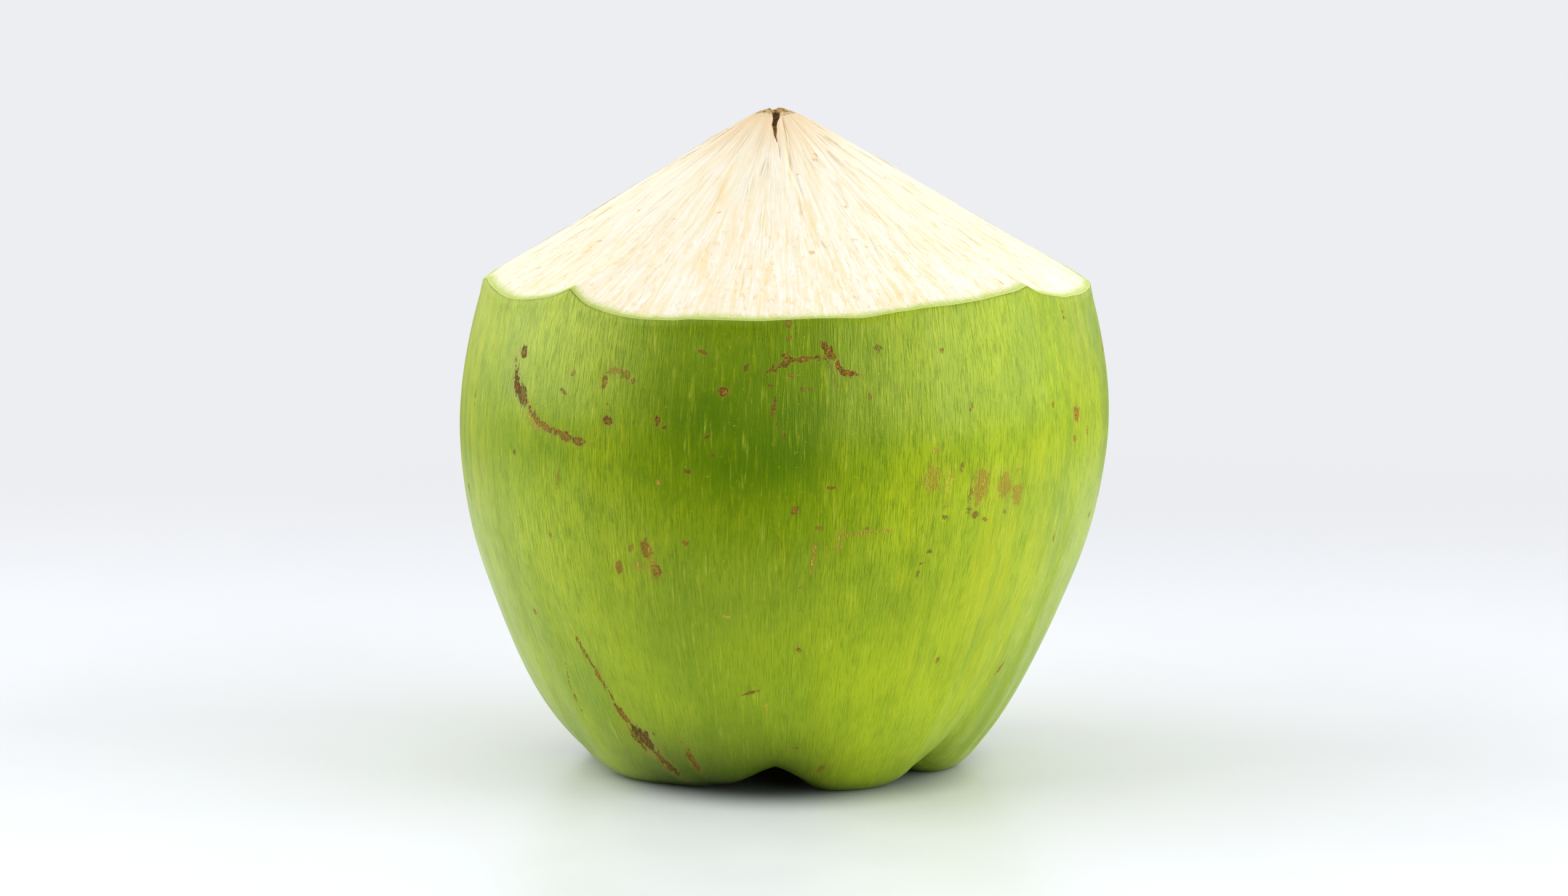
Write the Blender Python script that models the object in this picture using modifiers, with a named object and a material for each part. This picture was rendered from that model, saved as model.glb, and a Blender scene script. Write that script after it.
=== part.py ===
"""Green coconut with its top pared to a cone, built for Blender 4.5.

The fruit stands on the lobes round its stem end, and its other end is cut to
a cone of bare husk. It is one solid, in metres, +Z up. The origin is on the
ground under the middle of the fruit, and the front looks along -Y.

The husk is a turned outline whose surface is then pushed in along the
grooves between the lobes. A second turned solid, the reach of the knife, is
a scalloped cone over a flat ground plane. What the two share is the fruit.
"""

import math

import bpy
import numpy as np

MM = 0.001

# ---------------------------------------------------------------- dimensions
WIDEST_RADIUS = 75.0 * MM  # half the girth of the fruit, at its widest height
WIDEST_HEIGHT = 81.0 * MM
TIP_HEIGHT = 151.4 * MM  # the pared tip, over the ground
TIP_ROUNDING = 3.8 * MM  # radius over which the tip is blunt
CONE_FALL = 0.600  # how far the pared cone drops for each unit outwards
CONE_TILT = 0.046  # how much more it drops on its steepest side
CONE_TILT_AT = -28.0  # direction of the steepest side, in degrees

# Outline of the uncut fruit from the stem pit to past the cut, as
# (radius over the widest radius, height over the widest height).
OUTLINE = (
    (0.00, 0.120),
    (0.17, 0.100),
    (0.30, 0.036),
    (0.42, -0.016),
    (0.545, -0.010),
    (0.647, 0.062),
    (0.757, 0.215),
    (0.871, 0.450),
    (0.963, 0.705),
    (1.00, 1.000),
    (0.957, 1.284),
    (0.860, 1.532),
    (0.700, 1.745),
    (0.450, 1.930),
    (0.00, 2.020),
)
OUTLINE_STEPS = 3  # straight pieces between two points of the outline
TURN_STEPS = 72  # pieces round the girth

# Grooves between the lobes of the stem end: direction in degrees from the
# front towards +X, depth at the foot, half width, and the climb over which
# each one gets shallower by two thirds. The last is a broad dent that keeps
# one lobe just off the ground.
GROOVES = (
    (0.0, 9.6 * MM, 6.2 * MM, 3.8 * MM),
    (51.5, 5.5 * MM, 6.3 * MM, 10.5 * MM),
    (103.0, 6.4 * MM, 6.8 * MM, 12.0 * MM),
    (163.0, 6.0 * MM, 6.2 * MM, 9.0 * MM),
    (214.0, 6.6 * MM, 6.8 * MM, 14.0 * MM),
    (283.0, 5.0 * MM, 7.6 * MM, 10.0 * MM),
    (-19.0, 1.2 * MM, 7.0 * MM, 3.9 * MM),
    (-35.0, 1.1 * MM, 13.0 * MM, 3.4 * MM),
)
CREASE_POWER = 1.3  # 2 would give round-bottomed grooves, and 1 sharp ones
PIT_EDGE = (7.0 * MM, 28.0 * MM)  # grooves fade in between these radii
THREE_SIDED = 0.010  # share by which the girth swells on three sides
THREE_SIDED_AT = 75.0  # direction of the first swelling, in degrees
LEAN = 2.0 * MM  # how far the shoulder leans to +X over the foot

# Crests in the rim, where one stroke of the knife met the next: direction in
# degrees, height over the strokes beside it, and the angle over which it
# falls away on its left and on its right.
RIM_CRESTS = (
    (-78.0, 2.2 * MM, 9.0, 14.0),
    (-41.0, 4.4 * MM, 9.0, 6.0),
    (52.0, 3.4 * MM, 22.0, 6.0),
    (124.0, 3.8 * MM, 9.0, 15.0),
    (180.0, 4.2 * MM, 14.0, 7.0),
    (222.0, 2.8 * MM, 8.0, 11.0),
)
SCALLOP_START = 48.0 * MM  # radius on the cone where the scallops begin
SCALLOP_FULL = 70.0 * MM
KNIFE_REACH = 96.0 * MM  # outer radius of the knife's solid, past the girth
KNIFE_RINGS = 11
KNIFE_STEPS = 96

SKIN_COLOUR = (0.29, 0.46, 0.045, 1.0)
SKIN_ROUGHNESS = 0.38
HUSK_COLOUR = (0.86, 0.78, 0.60, 1.0)
HUSK_ROUGHNESS = 0.85
PARED_SLOPE = 0.6  # least upward part of a pared face's normal, and skin has less
SHARP_FROM = 30.0  # degrees between two faces whose edge is drawn sharp


# -------------------------------------------------------------- small helpers
def smooth_step(value, start, end):
    """0 before start, 1 after end, and an S-shaped rise between them."""
    share = np.clip((value - start) / (end - start), 0.0, 1.0)
    return share * share * (3.0 - 2.0 * share)


def turn_apart(direction, degrees):
    """The angle in radians from a fixed direction, between -pi and pi."""
    away = direction - math.radians(degrees)
    return (away + math.pi) % (2.0 * math.pi) - math.pi


def clear_scene():
    for old in list(bpy.data.objects):
        bpy.data.objects.remove(old, do_unlink=True)


def new_collection(name):
    collection = bpy.data.collections.new(name)
    bpy.context.scene.collection.children.link(collection)
    return collection


def make_material(name, colour, roughness):
    material = bpy.data.materials.new(name)
    material.use_nodes = True
    shader = material.node_tree.nodes["Principled BSDF"]
    shader.inputs["Base Color"].default_value = colour
    shader.inputs["Roughness"].default_value = roughness
    shader.inputs["Metallic"].default_value = 0.0
    return material


# --------------------------------------------------------------- turned forms
def smooth_outline(points, steps):
    """Points on a Catmull-Rom curve through the given ones, ends included."""
    given = np.array(points)
    padded = np.vstack([2 * given[0] - given[1], given, 2 * given[-1] - given[-2]])
    shares = np.linspace(0.0, 1.0, steps, endpoint=False)[:, None]
    curve = []
    for before, start, end, after in zip(padded, padded[1:], padded[2:], padded[3:]):
        slope_in = 0.5 * (end - before)
        slope_out = 0.5 * (after - start)
        curve.append(
            (2 * shares**3 - 3 * shares**2 + 1) * start
            + (shares**3 - 2 * shares**2 + shares) * slope_in
            + (3 * shares**2 - 2 * shares**3) * end
            + (shares**3 - shares**2) * slope_out
        )
    return np.vstack([*curve, given[-1]])


def turn(name, profile, steps, collection):
    """A solid of revolution about +Z from (radius, height) pairs, top first."""
    mesh = bpy.data.meshes.new(name + "_outline")
    corners = [(radius, 0.0, height) for radius, height in profile]
    edges = [(i, i + 1) for i in range(len(corners) - 1)]
    mesh.from_pydata(corners, edges, [])
    outline = bpy.data.objects.new(name + "_outline", mesh)
    collection.objects.link(outline)
    screw = outline.modifiers.new("Turn", "SCREW")
    screw.axis = "Z"
    screw.steps = steps
    screw.render_steps = steps
    screw.use_merge_vertices = True
    screw.merge_threshold = 0.02 * MM
    return freeze(outline, name, collection)


def freeze(source, name, collection):
    """A plain mesh object of what the source looks like with its modifiers."""
    bpy.context.view_layer.update()
    graph = bpy.context.evaluated_depsgraph_get()
    mesh = bpy.data.meshes.new_from_object(source.evaluated_get(graph))
    made = bpy.data.objects.new(name, mesh)
    collection.objects.link(made)
    bpy.data.objects.remove(source, do_unlink=True)
    mesh.name = name
    return made


def mesh_points(mesh):
    points = np.empty(len(mesh.vertices) * 3)
    mesh.vertices.foreach_get("co", points)
    return points.reshape(-1, 3)


def mesh_normals(mesh):
    normals = np.empty(len(mesh.vertices) * 3)
    mesh.vertex_normals.foreach_get("vector", normals)
    return normals.reshape(-1, 3)


def set_mesh_points(mesh, points):
    mesh.vertices.foreach_set("co", points.ravel())
    mesh.update()


def direction_of(points):
    """Angle of each point about +Z, 0 at the front (-Y) and a quarter at +X."""
    return np.arctan2(points[:, 0], -points[:, 1])


# ------------------------------------------------------------------ the fruit
def groove_depth(points):
    """How far the grooves push each point in: a rounded V that fades upwards."""
    direction = direction_of(points)
    radius = np.hypot(points[:, 0], points[:, 1])
    height = np.maximum(points[:, 2], 0.0)
    depth = np.zeros(len(points))
    for degrees, deepest, half_width, climb in GROOVES:
        aside = turn_apart(direction, degrees) * radius
        section = np.exp(-(np.abs(aside / half_width) ** CREASE_POWER))
        depth += deepest * section * np.exp(-height / climb)
    return depth * smooth_step(radius, *PIT_EDGE)


def shape_husk(husk):
    """Pushes the lobes, the three-sided girth and the lean into the turned form."""
    mesh = husk.data
    points = mesh_points(mesh)
    shaped = points - mesh_normals(mesh) * groove_depth(points)[:, None]
    swell = 1.0 + THREE_SIDED * np.cos(
        3.0 * turn_apart(direction_of(points), THREE_SIDED_AT)
    ) * smooth_step(points[:, 2], 0.0, WIDEST_HEIGHT)
    shaped[:, :2] *= swell[:, None]
    shaped[:, 0] += LEAN * smooth_step(shaped[:, 2], 0.0, 1.5 * WIDEST_HEIGHT)
    set_mesh_points(mesh, shaped)


def make_husk(collection):
    scale = (WIDEST_RADIUS, WIDEST_HEIGHT)
    outline = smooth_outline(OUTLINE, OUTLINE_STEPS) * scale
    husk = turn("whole_husk", outline[::-1], TURN_STEPS, collection)
    shape_husk(husk)
    return husk


def pared_height(points):
    """Height of the knife's cut: a tilted cone, blunt at its tip and scalloped."""
    direction = direction_of(points)
    radius = np.hypot(points[:, 0], points[:, 1])
    fall = CONE_FALL + CONE_TILT * np.cos(turn_apart(direction, CONE_TILT_AT))
    height = TIP_HEIGHT - fall * (np.hypot(radius, TIP_ROUNDING) - TIP_ROUNDING)
    raised = np.zeros(len(points))
    for degrees, crest, before, after in RIM_CRESTS:
        away = np.degrees(turn_apart(direction, degrees))
        raised += crest * np.exp(-np.where(away < 0.0, -away / before, away / after))
    return height + raised * smooth_step(radius, SCALLOP_START, SCALLOP_FULL)


def make_knife_reach(collection):
    """All that the knife leaves: what lies under its cut and over the ground."""
    slope_radii = np.linspace(0.0, KNIFE_REACH, KNIFE_RINGS)
    slope_radii = np.sort(np.append(slope_radii, [TIP_ROUNDING, 2 * TIP_ROUNDING]))
    slope = np.column_stack([slope_radii, np.full(len(slope_radii), TIP_HEIGHT)])
    ground = np.array([[KNIFE_REACH, 0.0], [0.0, 0.0]])
    reach = turn("knife_reach", np.vstack([slope, ground]), KNIFE_STEPS, collection)
    points = mesh_points(reach.data)
    on_slope = points[:, 2] > MM
    points[on_slope, 2] = pared_height(points[on_slope])
    set_mesh_points(reach.data, points)
    reach.hide_render = True
    reach.display_type = "WIRE"
    return reach


def pare(husk, reach, name, collection):
    """The husk cut down to the knife's reach and flattened where it stands."""
    cut = husk.modifiers.new("Pare", "BOOLEAN")
    cut.operation = "INTERSECT"
    cut.solver = "EXACT"
    cut.object = reach
    return freeze(husk, name, collection)


def stand_over_origin(fruit):
    """Moves the fruit so that the middle of its box is over the origin."""
    points = mesh_points(fruit.data)
    middle = 0.5 * (points.min(axis=0) + points.max(axis=0))
    fruit.location = (-middle[0], -middle[1], -points[:, 2].min())


def paint(fruit):
    """Gives the fruit its waxy skin, and bare husk where the knife has been."""
    mesh = fruit.data
    mesh.materials.clear()
    mesh.materials.append(make_material("green_skin", SKIN_COLOUR, SKIN_ROUGHNESS))
    mesh.materials.append(make_material("pared_husk", HUSK_COLOUR, HUSK_ROUGHNESS))
    for face in mesh.polygons:
        pared = face.center.z > WIDEST_HEIGHT and face.normal.z > PARED_SLOPE
        face.material_index = int(pared)
    mesh.shade_smooth()
    mesh.set_sharp_from_angle(angle=math.radians(SHARP_FROM))


def main():
    clear_scene()
    parts = new_collection("green_coconut")
    cutters = new_collection("cutters")
    reach = make_knife_reach(cutters)
    husk = make_husk(cutters)
    fruit = pare(husk, reach, "green_coconut", parts)
    stand_over_origin(fruit)
    paint(fruit)


main()
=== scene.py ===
"""Green coconut with its top pared to a cone: the finished look of the fruit.

The rind and the bared husk are two closed surfaces that meet along the wavy
rim of the cut. Both are worked out on grids of (direction, row) from the same
outline, grooves and knife strokes as the solid that they stand for, and then
get the finer relief: strands, flutes, scars, nicks and the split in the tip.
Lengths are in metres. A direction is an angle about +Z, 0 at the front (-Y)
and a quarter turn at +X, and a place on the skin is (direction, height).
"""

import math

import bpy
import numpy as np
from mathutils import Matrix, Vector


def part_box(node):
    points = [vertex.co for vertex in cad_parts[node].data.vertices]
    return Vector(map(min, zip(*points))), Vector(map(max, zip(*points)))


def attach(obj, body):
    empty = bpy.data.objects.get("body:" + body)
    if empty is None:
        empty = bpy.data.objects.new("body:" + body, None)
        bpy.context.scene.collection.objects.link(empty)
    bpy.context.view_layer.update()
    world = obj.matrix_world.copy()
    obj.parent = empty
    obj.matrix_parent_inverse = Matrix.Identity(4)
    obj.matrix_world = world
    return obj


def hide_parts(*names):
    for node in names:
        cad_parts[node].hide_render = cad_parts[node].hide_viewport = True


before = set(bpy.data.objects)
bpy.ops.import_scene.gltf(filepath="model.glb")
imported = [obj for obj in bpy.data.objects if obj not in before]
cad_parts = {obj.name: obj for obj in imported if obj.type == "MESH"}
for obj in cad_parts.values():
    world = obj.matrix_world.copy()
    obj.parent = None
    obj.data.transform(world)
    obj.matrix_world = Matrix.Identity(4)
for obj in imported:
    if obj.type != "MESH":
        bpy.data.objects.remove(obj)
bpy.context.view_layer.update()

bl_info = {
    "name": "Green Coconut",
    "version": (1, 0, 0),
    "blender": (4, 5, 0),
    "location": "3D View > Sidebar > Coconut",
    "description": "Builds a young green coconut with its top pared to bare husk",
    "category": "Add Mesh",
}

NODE = "green_coconut"
BODY = "root"
MM = 0.001
TURN = 2.0 * math.pi
UP = np.array([0.0, 0.0, 1.0])
NOISE_ROWS = 256  # after so many steps along the strands a soft noise comes again

# ------------------------------------------------- the fruit, as in the solid
WIDEST_RADIUS = 75.0 * MM
WIDEST_HEIGHT = 81.0 * MM
TIP_HEIGHT = 151.4 * MM
TIP_ROUNDING = 3.8 * MM
CONE_FALL = 0.600
CONE_TILT = 0.046
CONE_TILT_AT = -28.0
OUTLINE = (
    (0.00, 0.120),
    (0.17, 0.100),
    (0.30, 0.036),
    (0.42, -0.016),
    (0.545, -0.010),
    (0.647, 0.062),
    (0.757, 0.215),
    (0.871, 0.450),
    (0.963, 0.705),
    (1.00, 1.000),
    (0.957, 1.284),
    (0.860, 1.532),
    (0.700, 1.745),
    (0.450, 1.930),
    (0.00, 2.020),
)
FOOT_SHARE = 3.6  # where along the outline the fruit meets the ground
WIDEST_SHARE = 9.0
TOP_SHARE = 12.9
GROOVES = (
    (0.0, 9.6 * MM, 6.2 * MM, 3.8 * MM),
    (51.5, 5.5 * MM, 6.3 * MM, 10.5 * MM),
    (103.0, 6.4 * MM, 6.8 * MM, 12.0 * MM),
    (163.0, 6.0 * MM, 6.2 * MM, 9.0 * MM),
    (214.0, 6.6 * MM, 6.8 * MM, 14.0 * MM),
    (283.0, 5.0 * MM, 7.6 * MM, 10.0 * MM),
    (-19.0, 1.2 * MM, 7.0 * MM, 3.9 * MM),
    (-35.0, 1.1 * MM, 13.0 * MM, 3.4 * MM),
)
CREASE_POWER = 1.3
PIT_EDGE = (7.0 * MM, 28.0 * MM)
THREE_SIDED = 0.010
THREE_SIDED_AT = 75.0
LEAN = 2.0 * MM
RIM_CRESTS = (
    (-78.0, 2.2 * MM, 9.0, 14.0),
    (-41.0, 4.4 * MM, 9.0, 6.0),
    (52.0, 3.4 * MM, 22.0, 6.0),
    (124.0, 3.8 * MM, 9.0, 15.0),
    (180.0, 4.2 * MM, 14.0, 7.0),
    (222.0, 2.8 * MM, 8.0, 11.0),
)
SCALLOP_START = 48.0 * MM
SCALLOP_FULL = 70.0 * MM

# ------------------------------------------------------------- finer relief
# Shallow flutes up from the stem end: direction, depth, half width, and the
# climb over which each one fades by two thirds.
FLUTES = (
    (44.0, 0.55 * MM, 2.2 * MM, 30.0 * MM),
    (61.0, 0.70 * MM, 2.6 * MM, 34.0 * MM),
    (70.0, 0.55 * MM, 2.4 * MM, 38.0 * MM),
    (82.0, 0.60 * MM, 3.0 * MM, 30.0 * MM),
    (-58.0, 0.30 * MM, 3.0 * MM, 24.0 * MM),
    (-76.0, 0.45 * MM, 3.2 * MM, 28.0 * MM),
    (128.0, 0.60 * MM, 2.8 * MM, 32.0 * MM),
    (141.0, 0.45 * MM, 2.4 * MM, 36.0 * MM),
    (188.0, 0.55 * MM, 3.0 * MM, 30.0 * MM),
    (240.0, 0.60 * MM, 2.6 * MM, 34.0 * MM),
    (252.0, 0.40 * MM, 2.4 * MM, 26.0 * MM),
)
# Dips where a stroke left the rim: direction, half width in degrees, depth.
RIM_NICKS = (
    (16.0, 5.0, 0.5 * MM),
    (-3.0, 7.0, 0.25 * MM),
    (96.0, 6.0, 0.4 * MM),
    (151.0, 7.0, 0.4 * MM),
    (243.0, 6.0, 0.4 * MM),
)
# Nicks in the bare husk: direction, radii of both ends, half width, depth.
NICKS = (
    (8.5, 16.0 * MM, 25.0 * MM, 0.40 * MM, 0.5 * MM),
    (11.0, 23.0 * MM, 33.0 * MM, 0.30 * MM, 0.4 * MM),
    (-7.0, 19.0 * MM, 26.0 * MM, 0.30 * MM, 0.45 * MM),
    (2.5, 13.0 * MM, 21.0 * MM, 0.22 * MM, 0.4 * MM),
    (14.0, 5.0 * MM, 13.0 * MM, 0.28 * MM, 0.5 * MM),
    (34.0, 6.0 * MM, 26.0 * MM, 0.42 * MM, 0.18 * MM),
    (-24.0, 26.0 * MM, 37.0 * MM, 0.30 * MM, 0.3 * MM),
    (58.0, 16.0 * MM, 30.0 * MM, 0.30 * MM, 0.3 * MM),
    (104.0, 20.0 * MM, 31.0 * MM, 0.34 * MM, 0.5 * MM),
    (151.0, 12.0 * MM, 24.0 * MM, 0.30 * MM, 0.5 * MM),
    (196.0, 24.0 * MM, 36.0 * MM, 0.36 * MM, 0.5 * MM),
    (238.0, 15.0 * MM, 26.0 * MM, 0.28 * MM, 0.4 * MM),
    (-88.0, 18.0 * MM, 30.0 * MM, 0.32 * MM, 0.4 * MM),
)
# Soft noises: height, count round the fruit, length along the strands, seed.
# BROAD_WAVES are times the relief and ROPE_WAVES times the strand height, both settings.
BROAD_WAVES = ((1.0, 9, 42.0 * MM, 11), (0.45, 23, 30.0 * MM, 12))
KNIFE_WAVES = ((0.28 * MM, 31, 30.0 * MM, 5), (0.10 * MM, 118, 9.0 * MM, 6))
ROPE_WAVES = ((2.2, 84, 46.0 * MM, 14),)
FOOT_WAVES = ((0.13 * MM, 62, 70.0 * MM, 15),)
CRUMB_WAVES = ((1.0, 23, 0.75 * MM, 25), (0.5, 53, 0.33 * MM, 26))
FOOT_CLIMB = 38.0 * MM  # the low strands near the foot fade by two thirds in this climb
KNIFE_DEPTH = 0.3 * MM
CRUMB_SPAN = 16.0 * MM
CRUMB_DEPTH = 0.36 * MM
NICK_START = (62.0 * MM, 69.0 * MM)
SCAR_DENT = 0.16  # depth of a scar, as a share of its half width
HUSK_INSET = 0.18 * MM
# Hidden rings, in millimetres: inset from the rim and drop, under the cut for
# the lip and the edge and under the rim for the cap. The underside has the
# share of the way out from the axis, and the drop under the cut.
RIND_LIP = ((0.12, 0.01), (0.30, 0.08), (0.55, 1.1))
RIND_CAP = ((6.0, 6.0), (30.0, 9.0))
HUSK_EDGE = ((1.2, 1.2), (0.10, 0.45), (0.0, 0.14))
HUSK_UNDERSIDE = ((0.15, 9.0), (0.5, 8.0), (0.85, 5.0))
SPLIT_AT = 0.5  # direction of the split in the tip
SPLIT_LENGTH = 14.5 * MM
SPLIT_HALF_WIDTH = 1.35 * MM
SPLIT_DEPTH = 1.9 * MM
STUB_RADIUS = 3.6 * MM

# ---------------------------------------------------------- marks on the skin
# Tones of a mark, from 0 to 1 along the ramp of scar colours.
DARK, RUST, RUSSET, BLUSH, TAN, YELLOW = 0.0, 0.25, 0.38, 0.5, 0.75, 1.0

# Scars that follow a path: tone, strength, half width, then the places.
STROKES = (
    (DARK, 0.95, 1.15 * MM, ((-51, 101), (-51.5, 98.5))),
    (DARK, 1.0, 1.10 * MM, ((-53, 97.0), (-52, 92), (-49.8, 89.2), (-47.6, 87.6))),
    (DARK, 1.0, 1.50 * MM, ((-51.2, 92.4), (-48.4, 88.4))),
    (RUST, 0.90, 0.75 * MM, ((-48.6, 88.6), (-45, 84.6), (-42.2, 83.4), (-38.6, 82))),
    (RUST, 0.90, 0.95 * MM, ((-42.4, 83.4), (-37, 82), (-34, 81.5))),
    (TAN, 0.7, 0.50 * MM, ((-48.6, 86.5), (-46, 83.8), (-43.6, 83))),
    (RUST, 1.0, 0.62 * MM, ((-2, 98.2), (0.8, 100.4), (4, 100.8), (7.2, 101))),
    (RUST, 1.0, 0.75 * MM, ((6.8, 104), (8, 102.2), (9.3, 100))),
    (RUST, 1.0, 0.75 * MM, ((9.2, 100), (10, 98.2), (11.4, 97.2), (13.4, 97.3))),
    (RUST, 0.55, 0.30 * MM, ((7.8, 101), (8.2, 99), (8.8, 96.6))),
    (RUST, 0.95, 0.42 * MM, ((-42.2, 34.6), (-40.6, 30), (-38.4, 24.4), (-37.2, 20.6))),
    (RUST, 0.95, 0.95 * MM, ((-37.4, 20.8), (-36.2, 18), (-35.2, 16))),
    (DARK, 1.0, 2.10 * MM, ((-35.2, 15.8), (-33.4, 13.2), (-31.6, 9.6))),
    (DARK, 0.95, 1.25 * MM, ((-31.6, 10), (-29.6, 6.6), (-27.4, 3.6))),
    (TAN, 0.55, 0.35 * MM, ((-34.8, 13), (-32.4, 9.4), (-30, 5.8))),
    (RUST, 0.85, 0.80 * MM, ((-22, 11.6), (-21.2, 8.6), (-20.2, 5.4))),
    (DARK, 0.80, 0.60 * MM, ((-21.4, 7.2), (-20.6, 5.2))),
    (RUST, 0.70, 0.25 * MM, ((-49.6, 26.8), (-50.6, 23), (-50, 19.6))),
    (TAN, 0.75, 0.40 * MM, ((10.6, 60.6), (11, 62.2), (15, 62.8), (20.4, 63))),
    (DARK, 0.55, 0.30 * MM, ((34.2, 72.4), (34, 70.2), (33.8, 68.6))),
    (RUST, 0.85, 0.45 * MM, ((96, 92), (99, 89), (103, 88.6), (106, 86))),
    (DARK, 0.90, 0.80 * MM, ((138, 64), (140, 60), (141, 55))),
    (TAN, 0.70, 0.35 * MM, ((141, 56), (142.4, 50), (143, 43))),
    (RUST, 0.75, 0.40 * MM, ((171, 98), (175, 99.4), (179, 97.6), (183, 98.4))),
    (DARK, 0.85, 0.70 * MM, ((205, 84), (208, 81.6), (210, 78))),
    (RUST, 0.80, 0.35 * MM, ((210, 78.4), (213, 75), (217, 74))),
    (RUST, 0.80, 0.32 * MM, ((236, 38), (238, 31), (239, 25), (241, 19))),
    (DARK, 0.80, 0.80 * MM, ((241, 20), (242.4, 14.6), (243.4, 10))),
    (TAN, 0.65, 0.32 * MM, ((262, 70), (264, 66), (265, 60))),
    (RUST, 0.70, 0.35 * MM, ((272, 101), (275, 99), (277, 95.6))),
)

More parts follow.
